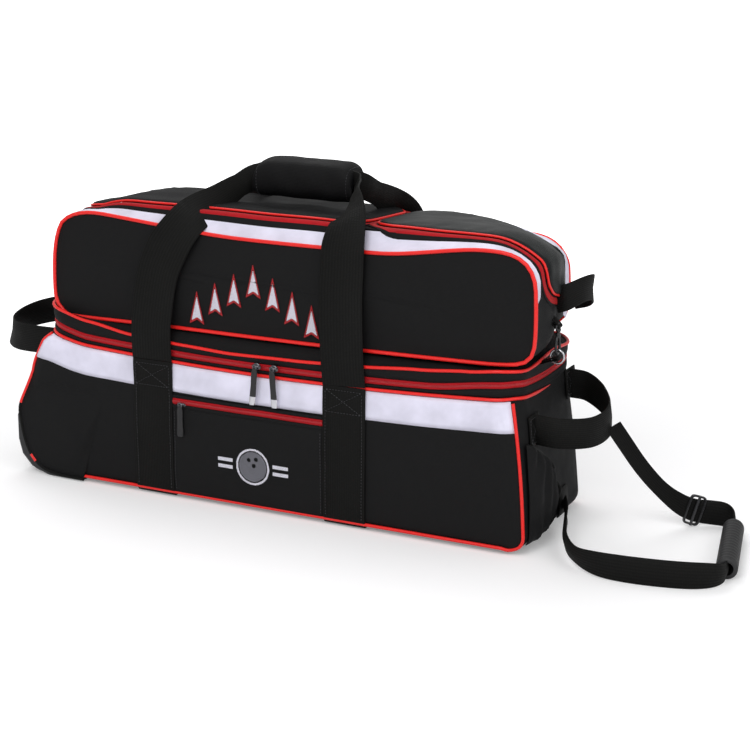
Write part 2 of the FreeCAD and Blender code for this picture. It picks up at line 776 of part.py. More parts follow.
# Two zipped flaps on top, each a padded cap on a ring of zip tape with a piped edge.
flapBase = sizes["flapZipHeight"]
flapSpans = (("left", "leftFlapStart", "leftFlapEnd"), ("right", "rightFlapStart", "rightFlapEnd"))
for name, start, end in flapSpans:
    def plan(sketch, grow):
        outline(
            sketch,
            [
                (at(start, -grow), at("flapHalfDepth", -grow, -1.0)),
                (at(end, grow), at("flapHalfDepth", -grow, -1.0)),
                (at(end, grow), at("flapHalfDepth", grow)),
                (at(start, -grow), at("flapHalfDepth", grow)),
            ],
        )

    tape = newBody(f"{name}_flap_zip")
    sketch = sketchOn(tape, "XY_Plane", at("shoeTop"))
    plan(sketch, 2.0)
    plan(sketch, -8.0)
    pad(tape, sketch, at("flapZipHeight"))
    for reach, radius in ((-8.0, (30.0, "30")), (2.0, at("flapCorner"))):
        fillet(tape, lambda edge: cornerAt(edge, sizes["flapHalfDepth"] + reach), radius)
    flap = newBody(f"{name}_flap")
    sketch = sketchOn(flap, "XY_Plane", at("shoeTop", flapBase + 0.4))
    plan(sketch, 0.0)
    pad(flap, sketch, at("flapGauge"))
    fillet(flap, upright, at("flapCorner"))
    fillet(flap, lambda edge: edge.CenterOfMass.z > sizes["shoeTop"] + flapBase + 0.4 + 5.9, (4.0, "4"))
    edgePiping = newBody(f"{name}_flap_piping")
    sketch = sketchOn(edgePiping, "XY_Plane", at("shoeTop", flapBase + 0.4))
    plan(sketch, 2.4)
    plan(sketch, 0.0)
    pad(edgePiping, sketch, (2.4, "2.4"))
    for reach, radius in ((2.4, at("flapCorner", 2.4)), (0.0, at("flapCorner"))):
        fillet(edgePiping, lambda edge: cornerAt(edge, sizes["flapHalfDepth"] + reach), radius)

doc.recompute()

# The tops of both flaps fall a little towards the back.
topTilt = math.degrees(math.atan(sizes["backDrop"] / (2 * sizes["shoeTopHalf"])))
tilt = Rotation(Vector(1, 0, 0), -topTilt)
pivot = Vector(0, -sizes["shoeTopHalf"], sizes["shoeTop"])
lifted = Vector(0, 0, 0.1)
for name in ("left", "right"):
    for piece in ("flap_zip", "flap", "flap_piping"):
        item = [part for part in parts if part.Label == f"{name}_{piece}"][0]
        item.Placement = Placement(pivot - tilt.multVec(pivot) + lifted, tilt)

# Carry handles: each one loop of webbing, two legs rising past the shoe bag to a bunched run in the grip.
gripMiddle = (sizes["gripHigh"] + sizes["gripLow"]) / 2
risers = {
    -1: ((-129.0, 197.0), (-129.0, 250.0), (-124.0, 310.0), (-122.0, 350.0), (-121.0, 388.0),
         (-104.0, 424.0), (-70.0, 443.0), (-36.0, 450.0)),
    1: ((129.0, 205.0), (129.0, 250.0), (124.0, 310.0), (122.0, 350.0), (120.0, 384.0),
        (104.0, 418.0), (62.0, 440.0), (18.0, 448.0)),
}
leftXs = (-155.0, -154.0, -147.0, -136.0, -120.0, -101.0, -83.0, -73.0)
rightXs = (137.0, 134.0, 128.0, 127.0, 128.0, 126.0, 118.0, 108.0)
shares = (1.0, 1.0, 1.0, 1.0, 0.98, 0.92, 0.8, 0.7)
turns = (0.0, 0.0, 0.0, 0.0, 0.05, 0.3, 0.7, 0.9)
for side, inGrip in ((-1, -19.4), (1, -15.8)):
    leftLeg = []
    rightLeg = []
    for (y, z), leftX, rightX, share, turn in zip(risers[side], leftXs, rightXs, shares, turns):
        leftLeg.append(((leftX, y, z), (1 - turn, 0, -turn), share))
        rightLeg.append(((rightX, y, z), (turn - 1, 0, -turn), share))
    run = [((x, inGrip, gripMiddle), (0, 0, -1), 0.58)
           for x in (sizes["gripLeft"], sizes["gripRight"])]
    shape = ribbon(leftLeg + run + rightLeg[::-1], sizes["strapWidth"], sizes["strapGauge"])
    freeForm(bothSides(side, "carry_handle"), shape)

grip = newBody("handle_grip")
sketch = sketchOn(grip, "YZ_Plane", at("gripLeft"))
outline(
    sketch,
    [
        (at("gripFront"), at("gripLow")),
        (at("gripBack"), at("gripLow")),
        (at("gripBack"), at("gripLow", 5)),
        (at("gripFront", 15.7), at("gripLow", 5)),
        (at("gripFront", 15.7), at("gripHigh", -5)),
        (at("gripBack"), at("gripHigh", -5)),
        (at("gripBack"), at("gripHigh")),
        (at("gripFront"), at("gripHigh")),
    ],
)
pad(grip, sketch, (sizes["gripRight"] - sizes["gripLeft"], "Sizes.gripRight - Sizes.gripLeft"))
fillet(grip, lambda edge: along(edge, 0, 3.0) and abs(edge.CenterOfMass.y - sizes["gripFront"]) < 0.1,
       (14.0, "14"))

# Grab handles: webbing loops that stand out from the ends of the bag.
loops = {
    "left_end_handle": (sizes["grabWidth"], leanLeft, (
        (-335.5, 68.0, 190.0), (-366.0, 70.0, 192.0), (-420.0, 60.0, 192.0), (-452.0, 32.0, 186.0),
        (-463.0, -6.0, 180.0), (-452.0, -42.0, 176.0), (-420.0, -68.0, 176.0), (-366.0, -76.0, 180.0),
        (-336.5, -75.0, 184.0))),
    "right_end_handle": (sizes["grabWidth"], -leanRight, (
        (377.5, 64.0, 186.0), (408.0, 66.0, 186.0), (440.0, 46.0, 178.0), (456.0, 8.0, 164.0),
        (448.0, -38.0, 156.0), (416.0, -70.0, 156.0), (380.0, -76.0, 158.0))),
    "shoe_bag_handle": (sizes["grabWidth"] - 6, 0.0, (
        (387.2, -34.0, 322.0), (408.0, -32.0, 324.0), (428.0, -6.0, 322.0), (434.0, 22.0, 316.0),
        (426.0, 50.0, 306.0), (406.0, 66.0, 300.0), (387.2, 68.0, 298.0))),
}
for label, (width, slant, points) in loops.items():
    stations = [(point, (slant, 0, 1), 1.0) for point in points]
    freeForm(label, ribbon(stations, width, sizes["grabGauge"]))

# Gathered end pocket, and the tab from which the tow strap comes.
endPocket = newBody("end_pocket")
sketch = sketchOn(endPocket, "XZ_Plane", (2.0, "2"))


# Place of the slanting right end at a height.
def endFace(z):
    return sizes["baseRight"] - leanRight * (z - sizes["underside"])


outline(
    sketch,
    [
        (endFace(14) + 0.2, 14.0),
        (endFace(14) + 9, 14.0),
        (endFace(136) + 9, 136.0),
        (endFace(136) + 0.2, 136.0),
    ],
)
pad(endPocket, sketch, (84.0, "84"))


# True for the upper edge of the end pocket that faces the back of the bag.
def nearTow(edge):
    return along(edge, 0, 3.0) and edge.CenterOfMass.z > 100 and edge.CenterOfMass.y > -40


fillet(endPocket, nearTow, (50.0, "50"))
anchor = boxPart("tow_strap_anchor", (endFace(20) + 0.3, endFace(20) + 5.3), (4.0, 20.0), (16.0, 54.0))
keep(anchor, "tow_strap_anchor")

# Clips that hold the shoe bag to the lid: tab, snap hook, ring and ring tab at each end.
hooks = []
rings = []
hookTabs = []
ringTabs = []
for mirror, middle, lift, shoeFace in ((1, 397.0, 0.0, "shoeRight"), (-1, -330.0, 7.0, "shoeLeft")):
    low = 250.0 + lift
    outer = boxPart("hook_outer", (middle - 2.5, middle + 2.5), (-48.0, -32.0), (low, low + 34))
    hole = boxPart("hook_hole", (middle - 5, middle + 5), (-44.0, -36.0), (low + 4, low + 26))
    hook = doc.addObject("Part::Cut", "SnapHook")
    hook.Base = outer
    hook.Tool = hole
    hooks.append(hook)
    ring = doc.addObject("Part::Torus", "ClipRing")
    bind(ring, "Radius1", at("ringRadius"))
    bind(ring, "Radius2", at("ringWire"))
    ring.Placement = Placement(Vector(middle, -40, low + 6.2 - sizes["ringRadius"]),
                               Rotation(Vector(1, 0, 0), 90))
    rings.append(ring)
    near = sizes[shoeFace] + mirror * 0.2
    far = middle + mirror * 2.5
    tabSpan = (min(near, far), max(near, far))
    hookTabs.append(boxPart("hook_tab", tabSpan, (-48.0, -32.0), (low + 34, low + 48)))
    if mirror > 0:
        ringTabs.append(boxPart("ring_tab", (378.0, 402.0), (-48.0, -32.0), (230.0, 236.0)))
    else:
        ringTabs.append(boxPart("ring_tab", (-330.0, -321.0), (-48.0, -32.0), (240.3, 242.0)))
together("snap_hooks", hooks)
together("clip_rings", rings)
together("hook_tabs", hookTabs)
together("ring_tabs", ringTabs)

# Zip sliders and their pull tabs.
front = -sizes["halfDepth"]
sliders = (
    ("lid_slider_left", "lid_pull_left", 8.0, 207.0, front - 4.2, 1.0),
    ("lid_slider_right", "lid_pull_right", 34.0, 207.0, front - 4.2, 1.0),
    ("pocket_slider", "pocket_pull", -110.0, 138.0, front - 1.8, 0.86),
)
for slider, pull, x, z, back, share in sliders:
    half = sizes["sliderLength"] / 2
    block = boxPart(slider, (x - half, x + half), (back - sizes["sliderGauge"], back), (z - 5, z + 5))
    rounded = doc.addObject("Part::Fillet", "SliderRounded")
    rounded.Base = block
    rounded.Edges = [
        (i + 1, 2.0, 2.0) for i, edge in enumerate(block.Shape.Edges) if abs(edge.CenterOfMass.y - back) > 1
    ]
    keep(rounded, slider)
    half = sizes["pullWidth"] / 2
    face = back - sizes["sliderGauge"] - 0.5
    tab = boxPart(pull, (x - half, x + half), (face - sizes["pullGauge"], face),
                  (z + 2 - sizes["pullLength"] * share, z + 2))
    keep(tab, pull)

# Tow strap: it loops on the right end handle, runs through a slider to a tube grip on the floor and comes
# back along the floor to its anchor. It stands on its edge, and is bunched where it passes through the tube.
half = sizes["towWidth"] / 2
edgeUp = half + 0.3
inTube = sizes["tubeRadius"] + 0.2
narrow = 0.6
towPath = (
    ((462.0, 6.0, 150.0), 1.0), ((472.0, 14.0, 132.0), 1.0), ((492.0, 34.0, 92.0), 1.0),
    ((514.0, 58.0, 56.0), 1.0), ((536.0, 80.0, 31.0), 1.0), ((553.0, 91.0, 22.0), 1.0),
    ((570.0, 102.0, 19.0), 1.0), ((592.0, 106.0, edgeUp), 0.9), ((606.0, 94.0, edgeUp - 2), 0.72),
    ((611.0, 74.0, inTube), narrow), ((643.0, -84.0, inTube), narrow), ((643.0, -106.0, edgeUp - 2), 0.72),
    ((626.0, -124.0, edgeUp), 0.9), ((596.0, -136.0, edgeUp), 1.0), ((541.0, -146.0, edgeUp), 1.0),
    ((492.0, -146.0, edgeUp), 1.0), ((458.0, -126.0, edgeUp), 1.0), ((432.0, -84.0, edgeUp), 1.0),
    ((416.0, -34.0, half + 4), 1.0), ((409.0, -8.0, half + 12), 1.0), ((398.5, 9.0, half + 17), 1.0),
)
stations = [(point, (0, 0, 1), share) for point, share in towPath]
freeForm("tow_strap", ribbon(stations, sizes["towWidth"], sizes["towGauge"]))


# A solid with a flat slot along its length for the webbing, laid along the strap, slot upright.
def bored(label, outer, slot, start, end, centre):
    tool = doc.addObject("Part::Box", "Slot")
    tool.Length, tool.Width, tool.Height = slot
    tool.Placement = Placement(Vector(-slot[0] / 2, -slot[1] / 2, -slot[2] / 2), Rotation())
    cut = doc.addObject("Part::Cut", label.title().replace("_", ""))
    cut.Base = outer
    cut.Tool = tool
    doc.recompute()
    run = end - start
    cut.Placement = Placement(centre, Rotation(Vector(0, 0, 1), Vector(), run, "ZXY"))
    return keep(cut, label)


tubeStart = Vector(*towPath[9][0])
tubeEnd = Vector(*towPath[10][0])
tube = doc.addObject("Part::Cylinder", "TubeOuter")
bind(tube, "Radius", at("tubeRadius"))
tube.Height = (tubeEnd - tubeStart).Length - 8
tube.Placement = Placement(Vector(0, 0, -tube.Height.Value / 2), Rotation())
bored("tow_grip", tube, (narrow * sizes["towWidth"] + 1, sizes["towGauge"] + 1.2, 400.0),
      tubeStart, tubeEnd, (tubeStart + tubeEnd) * 0.5)
towSlider = doc.addObject("Part::Box", "SliderOuter")
towSlider.Length, towSlider.Width, towSlider.Height = (sizes["towWidth"] + 6, 7.0, 12.0)
towSlider.Placement = Placement(Vector(-sizes["towWidth"] / 2 - 3, -3.5, -6), Rotation())
bored("tow_slider", towSlider, (sizes["towWidth"] + 1, 4.0, 60.0),
      Vector(*towPath[4][0]), Vector(*towPath[6][0]), Vector(*towPath[5][0]))

doc.recompute()
faults = []
for item in doc.Objects:
    if "Invalid" in item.State or "Error" in item.State:
        faults.append(f"{item.Label}: {item.State}")
os.makedirs("parts", exist_ok=True)
for item in parts:
    shape = item.Shape
    if shape.isNull() or not shape.isValid() or not shape.Solids:
        faults.append(f"{item.Label}: no valid solid")
        continue
    shape.exportStep(f"parts/{item.Label}.step")
if faults:
    raise RuntimeError("; ".join(faults))
print(len(parts), "nodes written")
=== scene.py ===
import math

import bmesh
import bpy
from mathutils import Matrix, Vector, noise


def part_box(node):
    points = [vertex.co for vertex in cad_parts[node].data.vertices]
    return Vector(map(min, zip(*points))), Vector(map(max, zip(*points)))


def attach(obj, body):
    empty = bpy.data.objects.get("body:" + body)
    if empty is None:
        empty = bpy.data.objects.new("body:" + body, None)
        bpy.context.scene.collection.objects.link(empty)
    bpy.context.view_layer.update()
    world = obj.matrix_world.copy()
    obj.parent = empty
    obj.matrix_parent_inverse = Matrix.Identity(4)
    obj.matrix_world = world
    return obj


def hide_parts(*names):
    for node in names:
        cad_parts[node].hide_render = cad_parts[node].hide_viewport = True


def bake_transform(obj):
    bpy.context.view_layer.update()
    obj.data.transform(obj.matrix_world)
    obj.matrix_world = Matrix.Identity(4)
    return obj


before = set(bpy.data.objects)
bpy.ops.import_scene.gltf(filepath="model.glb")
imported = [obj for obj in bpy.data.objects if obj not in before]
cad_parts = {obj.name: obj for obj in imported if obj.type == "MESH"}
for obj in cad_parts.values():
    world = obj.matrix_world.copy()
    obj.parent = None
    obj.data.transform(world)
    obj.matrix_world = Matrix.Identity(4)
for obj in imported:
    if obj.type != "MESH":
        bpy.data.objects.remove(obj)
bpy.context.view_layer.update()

# Rolling bag for three bowling balls with a shoe bag on its lid. Lengths are millimetres unless a comment
# says otherwise, and makePiece turns them into metres.
mm = 0.001


def mix(a, b, share):
    return a + (b - a) * share


def smoothStep(low, high, value):
    t = min(max((value - low) / (high - low), 0.0), 1.0)
    return t * t * (3 - 2 * t)


def spanOf(node):
    # lowest and highest corner of a CAD node, in millimetres
    low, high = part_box(node)
    return low / mm, high / mm


def ripple(x, y, z, size, height):
    # soft uneven cloth: smooth noise of a given wavelength and height
    return height * noise.noise(Vector((x, y, z)) / size)


def curveThrough(points, perSpan=6, closed=False):
    # smooth line through a few points
    points = [Vector(p) for p in points]
    count = len(points)
    line = []
    for i in range(count if closed else count - 1):
        if closed:
            before, start, end, after = (points[(i + k) % count] for k in (-1, 0, 1, 2))
        else:
            start, end = points[i], points[i + 1]
            before = points[i - 1] if i else start * 2 - end
            after = points[i + 2] if i + 2 < count else end * 2 - start
        for k in range(perSpan):
            t = k / perSpan
            bend = (2 * before - 5 * start + 4 * end - after) * t * t
            twist = (3 * start - before - 3 * end + after) * t ** 3
            line.append(0.5 * (2 * start + (end - before) * t + bend + twist))
    if not closed:
        line.append(points[-1])
    return line


def evenly(line, step, closed=False):
    # the same line with points a step apart
    line = [Vector(p) for p in line]
    if closed:
        line.append(line[0])
    lengths = [0.0]
    for a, b in zip(line[:-1], line[1:]):
        lengths.append(lengths[-1] + (b - a).length)
    count = max(2, round(lengths[-1] / step))
    result = []
    k = 0
    for i in range(count + (0 if closed else 1)):
        target = lengths[-1] * i / count
        while k < len(line) - 2 and lengths[k + 1] < target:
            k += 1
        share = (target - lengths[k]) / max(lengths[k + 1] - lengths[k], 1e-9)
        result.append(line[k].lerp(line[k + 1], min(max(share, 0.0), 1.0)))
    return result


def circleSection(radius, sides=8, squash=1.0):
    return [(radius * math.cos(2 * math.pi * i / sides), radius * squash * math.sin(2 * math.pi * i / sides))
            for i in range(sides)]


def flatSection(width, gauge, bulge=0.0):
    # thin strip with rounded edges: width runs across, gauge is its thickness
    half, thin = width / 2, gauge / 2
    edge = thin * 0.7
    return [(-half + edge, -thin), (0, -thin - bulge), (half - edge, -thin), (half, -thin * 0.3),
            (half, thin * 0.3),
            (half - edge, thin), (0, thin + bulge), (-half + edge, thin), (-half, thin * 0.3),
            (-half, -thin * 0.3)]


def linear(hexColour):
    channels = [int(hexColour[i:i + 2], 16) / 255 for i in (1, 3, 5)]
    return tuple(c / 12.92 if c <= 0.04045 else ((c + 0.055) / 1.055) ** 2.4 for c in channels) + (1.0,)


def addNode(tree, kind, inputs=None, **settings):
    node = tree.nodes.new("ShaderNode" + kind)
    for name, value in settings.items():
        setattr(node, name, value)
    for socket, value in (inputs or {}).items():
        if isinstance(value, bpy.types.NodeSocket):
            tree.links.new(value, node.inputs[socket])
        else:
            node.inputs[socket].default_value = value
    return node


def newMaterial(name, **surface):
    material = bpy.data.materials.new(name)
    material.use_nodes = True
    tree = material.node_tree
    tree.nodes.clear()
    shader = addNode(tree, "BsdfPrincipled", {key.replace("_", " "): value for key, value in surface.items()})
    addNode(tree, "OutputMaterial", {"Surface": shader.outputs["BSDF"]})
    return material, tree, shader


def coloured(tree, shader, factor, dark, light):
    # base colour that runs from dark to light with a factor
    blend = addNode(tree, "Mix", {"Factor": factor, 6: linear(dark), 7: linear(light)}, data_type="RGBA")
    tree.links.new(blend.outputs[2], shader.inputs["Base Color"])


def dulled(tree, shader, factor, low, high):
    # roughness that follows the middle range of a noise
    spread = addNode(tree, "MapRange", {"Value": factor, "From Min": 0.3, "From Max": 0.7,
                                        "To Min": low, "To Max": high})
    tree.links.new(spread.outputs["Result"], shader.inputs["Roughness"])


def embossed(tree, shader, height, strength, depth):
    # relief of a depth in millimetres
    bump = addNode(tree, "Bump", {"Height": height, "Strength": strength, "Distance": depth * mm})
    tree.links.new(bump.outputs["Normal"], shader.inputs["Normal"])


def bandScale(spacing):
    # scale of a wave texture whose bands are a spacing in millimetres apart
    return 2 * math.pi / (20 * spacing * mm)


def wovenCloth(name, thread, highlight, grooveShade, roughness, relief, sheen=0.0, sheenTint="#FFFFFF"):
    # Cloth of crossing threads. thread holds the spacing across and along the cloth in millimetres. The real
    # threads are finer than a render shows, so they are drawn two to three times as coarse.
    material, tree, shader = newMaterial(name, Roughness=roughness, Sheen_Weight=sheen, Sheen_Roughness=0.5,
                                         Sheen_Tint=linear(sheenTint), Specular_IOR_Level=0.14)
    place = addNode(tree, "TexCoord")
    warp = addNode(tree, "TexWave", {"Vector": place.outputs["UV"], "Scale": bandScale(thread[0]),
                                     "Distortion": 0.6, "Detail": 1.0}, bands_direction="X")
    weft = addNode(tree, "TexWave", {"Vector": place.outputs["UV"], "Scale": bandScale(thread[1]),
                                     "Distortion": 0.6, "Detail": 1.0}, bands_direction="Y")
    crossing = addNode(tree, "Math", {0: warp.outputs["Fac"], 1: weft.outputs["Fac"]}, operation="MULTIPLY")
    worn = addNode(tree, "TexNoise",
                   {"Vector": place.outputs["Object"], "Scale": 1 / (45 * mm), "Detail": 3.0})
    # painted shade and highlight: the grooves between crossing threads take the darker grooveShade colour and
    # the crossings the lighter highlight colour, following the bump relief
    colour = addNode(tree, "Mix", {"Factor": crossing.outputs[0], 6: linear(grooveShade), 7: linear(highlight)},
                     data_type="RGBA")
    uneven = addNode(tree, "MapRange", {"Value": worn.outputs["Fac"], "From Min": 0.3, "From Max": 0.7,
                                        "To Min": 0.86, "To Max": 1.12})
    shade = addNode(tree, "VectorMath", {0: colour.outputs[2], "Scale": uneven.outputs["Result"]},
                    operation="SCALE")
    tree.links.new(shade.outputs["Vector"], shader.inputs["Base Color"])
    dulled(tree, shader, worn.outputs["Fac"], roughness - 0.06, roughness + 0.08)
    embossed(tree, shader, crossing.outputs[0], relief, 0.4)
    return material


def blackPolyester():
    # 600-denier woven polyester with a coated back: dull, fine grid, slightly blue grey where light grazes it
    return wovenCloth("blackPolyester", (1.5, 1.5), "#1C1C1C", "#111112", 0.7, 0.5, 0.03, "#7A7C82")


def whitePolyester():
    # the same cloth dyed white, with the cold cast of optical brightener
    return wovenCloth("whitePolyester", (1.5, 1.5), "#EAE8F6", "#D8D6E8", 0.6, 0.35, 0.1)


def satinPolyester():
    # tighter, glossier cloth of the right flap, black with a green cast
    return wovenCloth("satinPolyester", (1.3, 1.3), "#1A1C1D", "#0F1112", 0.4, 0.35, 0.06, "#8A938E")


def blackWebbing():
    # polypropylene webbing: thick ribs along its length crossed by picks, a little shiny
    return wovenCloth("blackWebbing", (2.6, 1.9), "#141413", "#080807", 0.6, 0.8, 0.02, "#7C7C74")


def zipTapeCloth():
    # knitted red zip tape
    return wovenCloth("zipTapeCloth", (1.1, 1.6), "#CC1A24", "#9C0E18", 0.6, 0.5, 0.15, "#FF8A80")


def liningCloth():
    # thin lining cloth inside both bags
    return wovenCloth("liningCloth", (1.2, 1.2), "#3A3A3D", "#29292B", 0.7, 0.3, 0.1, "#B0B0B8")


def redPiping():
    # vinyl-faced piping cord: bright, smooth, catching a thin line of light
    material, tree, shader = newMaterial("redPiping", Roughness=0.36, Specular_IOR_Level=0.35,
                                         Coat_Weight=0.05,
                                         Coat_Roughness=0.3)
    place = addNode(tree, "TexCoord")
    grain = addNode(tree, "TexNoise",
                    {"Vector": place.outputs["Object"], "Scale": 1 / (3 * mm), "Detail": 2.0})
    coloured(tree, shader, grain.outputs["Fac"], "#DE1B19", "#F02C28")
    embossed(tree, shader, grain.outputs["Fac"], 0.2, 0.3)
    return material


def mouldedPlastic(name="mouldedPlastic", colour="#17181A", light="#2B2C2E", roughness=0.42, grain=0.9):
    # injection-moulded polypropylene with spark-eroded grain, scuffed paler on its edges
    material, tree, shader = newMaterial(name, Roughness=roughness, IOR=1.49)
    place = addNode(tree, "TexCoord")
    grit = addNode(tree, "TexNoise",
                   {"Vector": place.outputs["Object"], "Scale": 1 / (grain * mm), "Detail": 2.0})
    edge = addNode(tree, "NewGeometry")
    scuffed = addNode(tree, "MapRange",
                      {"Value": edge.outputs["Pointiness"], "From Min": 0.5, "From Max": 0.62})
    coloured(tree, shader, scuffed.outputs["Result"], colour, light)
    dulled(tree, shader, grit.outputs["Fac"], roughness - 0.08, roughness + 0.1)
    embossed(tree, shader, grit.outputs["Fac"], 0.25, 0.2)
    return material


def wheelRubber():
    # thermoplastic rubber tyre: dull, dusty grey on the tread
    material, tree, shader = newMaterial("wheelRubber", Roughness=0.75, IOR=1.5)
    place = addNode(tree, "TexCoord")
    dust = addNode(tree, "TexNoise",
                   {"Vector": place.outputs["Object"], "Scale": 1 / (12 * mm), "Detail": 4.0})
    coloured(tree, shader, dust.outputs["Fac"], "#1B1B1B", "#3A3937")
    embossed(tree, shader, dust.outputs["Fac"], 0.3, 0.3)
    return material


def platedMetal(name="platedMetal", colour="#C9C9CC", roughness=0.24):
    # nickel-plated die casting, faintly brushed and smudged
    material, tree, shader = newMaterial(name, Metallic=1.0, Roughness=roughness, Base_Color=linear(colour))
    place = addNode(tree, "TexCoord")
    smudge = addNode(tree, "TexNoise",
                     {"Vector": place.outputs["Object"], "Scale": 1 / (4 * mm), "Detail": 3.0})
    dulled(tree, shader, smudge.outputs["Fac"], roughness - 0.06, roughness + 0.14)
    embossed(tree, shader, smudge.outputs["Fac"], 0.06, 0.2)
    return material


def blackenedMetal():
    # black-lacquered zinc of the zip sliders, worn bright on its edges
    material, tree, shader = newMaterial("blackenedMetal", Metallic=0.8, Roughness=0.32)
    edge = addNode(tree, "NewGeometry")
    worn = addNode(tree, "MapRange",
                   {"Value": edge.outputs["Pointiness"], "From Min": 0.52, "From Max": 0.66})
    coloured(tree, shader, worn.outputs["Result"], "#26262A", "#9A9AA0")
    return material


def trayFoam():
    # charcoal EVA foam with fine closed cells
    material, tree, shader = newMaterial("trayFoam", Roughness=0.85, IOR=1.45)
    place = addNode(tree, "TexCoord")
    cells = addNode(tree, "TexVoronoi", {"Vector": place.outputs["Object"], "Scale": 1 / (2.2 * mm)})
    coloured(tree, shader, cells.outputs["Distance"], "#2A2A2C", "#434346")
    embossed(tree, shader, cells.outputs["Distance"], 0.5, 0.4)
    return material


def fibreBoard():
    # pressed fibre board under black paper, faintly mottled
    material, tree, shader = newMaterial("fibreBoard", Roughness=0.8, IOR=1.45)
    place = addNode(tree, "TexCoord")
    fibres = addNode(tree, "TexNoise",
                     {"Vector": place.outputs["Object"], "Scale": 1 / (2 * mm), "Detail": 4.0})
    coloured(tree, shader, fibres.outputs["Fac"], "#1C1B1A", "#33312E")
    embossed(tree, shader, fibres.outputs["Fac"], 0.2, 0.2)
    return material


def embroidery(name, colour, shade):
    # satin-stitch thread: fine parallel ridges with a silky shine
    material, tree, shader = newMaterial(name, Roughness=0.42, Sheen_Weight=0.3, Sheen_Roughness=0.4)
    place = addNode(tree, "TexCoord")
    ridges = addNode(tree, "TexWave", {"Vector": place.outputs["Object"], "Scale": bandScale(1.4),
                                       "Distortion": 1.0}, bands_direction="DIAGONAL")
    coloured(tree, shader, ridges.outputs["Fac"], shade, colour)
    embossed(tree, shader, ridges.outputs["Fac"], 0.5, 0.3)
    return material


# each finish: its material and the record's material slot
finishes = {
    "cloth": (blackPolyester(), "black_polyester"),
    "white": (whitePolyester(), "white_polyester"),
    "satin": (satinPolyester(), "black_polyester"),
    "webbing": (blackWebbing(), "black_webbing"),
    "zipTape": (zipTapeCloth(), "red_zip_tape"),
    "lining": (liningCloth(), "lining_foam"),
    "piping": (redPiping(), "red_piping"),
    "zipTeeth": (mouldedPlastic("zipTeeth", "#8E0F16", "#B3222A", 0.35, 0.5), "red_zip_tape"),
    "plastic": (mouldedPlastic(), "moulded_plastic"),
    "hook": (mouldedPlastic("acetalHook", "#141415", "#303032", 0.3, 0.6), "hook_plastic"),
    "hub": (mouldedPlastic("hubNylon", "#2A2B2E", "#45464A", 0.45, 0.8), "hub_plastic"),
    "rubber": (wheelRubber(), "tyre"),
    "axle": (platedMetal("axleSteel", "#B4B5B8", 0.3), "axle_steel"),
    "ring": (platedMetal("nickelRing", "#C6C7CB", 0.22), "ring_metal"),
    "slider": (blackenedMetal(), "slider_metal"),
    "pull": (mouldedPlastic("pullRubber", "#121213", "#222224", 0.5, 0.7), "pull_cord"),
    "pullEnd": (platedMetal("silverFoil", "#DADADF", 0.35), "slider_metal"),
    "grip": (wovenCloth("gripCloth", (1.8, 1.8), "#131314", "#0A0A0B", 0.6, 0.5, 0.02, "#6F7076"),
             "grip_padding"),
    "tube": (mouldedPlastic("tubeRubber", "#161617", "#262628", 0.55, 1.2), "tube_rubber"),
    "foam": (trayFoam(), "lining_foam"),
    "board": (fibreBoard(), "board"),
    "whiteThread": (embroidery("whiteThread", "#F2F1F8", "#C9C8D4"), "white_polyester"),
    "greyThread": (embroidery("greyThread", "#8E8E96", "#66666E"), "white_polyester"),
    "redThread": (embroidery("redThread", "#D4202A", "#9C1018"), "red_piping"),
    "blackThread": (embroidery("blackThread", "#34343A", "#1C1C20"), "black_polyester"),
}


def makePiece(name, points, faces, finish, body, replaces=(), corners=None, closed=True, inside=None):
    # a mesh from points in millimetres, with its finish, riding on a CAD body; given a tuple of two bodies it
    # rides on none
    mesh = bpy.data.meshes.new(name)
    mesh.from_pydata([Vector(p) * mm for p in points], [], faces)
    layer = mesh.uv_layers.new(name="cloth")
    if corners:
        flat = [value * mm for quad in corners for pair in quad for value in pair]
        layer.data.foreach_set("uv", flat)
    else:
        # cloth laid flat on whichever side a face looks to
        for polygon in mesh.polygons:
            size = [abs(value) for value in polygon.normal]
            across, upward = ((1, 2), (0, 2), (0, 1))[size.index(max(size))]
            for loop in polygon.loop_indices:
                place = mesh.vertices[mesh.loops[loop].vertex_index].co
                layer.data[loop].uv = (place[across], place[upward])
    work = bmesh.new()
    work.from_mesh(mesh)
    bmesh.ops.remove_doubles(work, verts=work.verts, dist=0.01 * mm)
    bmesh.ops.dissolve_degenerate(work, edges=work.edges, dist=0.005 * mm)
    if closed:
        bmesh.ops.recalc_face_normals(work, faces=work.faces)
    work.to_mesh(mesh)
    work.free()
    mesh.polygons.foreach_set("use_smooth", [True] * len(mesh.polygons))
    mesh.set_sharp_from_angle(angle=math.radians(48))
    piece = bpy.data.objects.new(name, mesh)
    bpy.context.scene.collection.objects.link(piece)
    mesh.materials.append(finishes[finish][0])
    if inside:
        mesh.materials.append(finishes[inside][0])
    if isinstance(body, tuple):
        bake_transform(piece)
    else:
        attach(piece, body)
    if replaces:
        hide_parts(*replaces)
    return piece


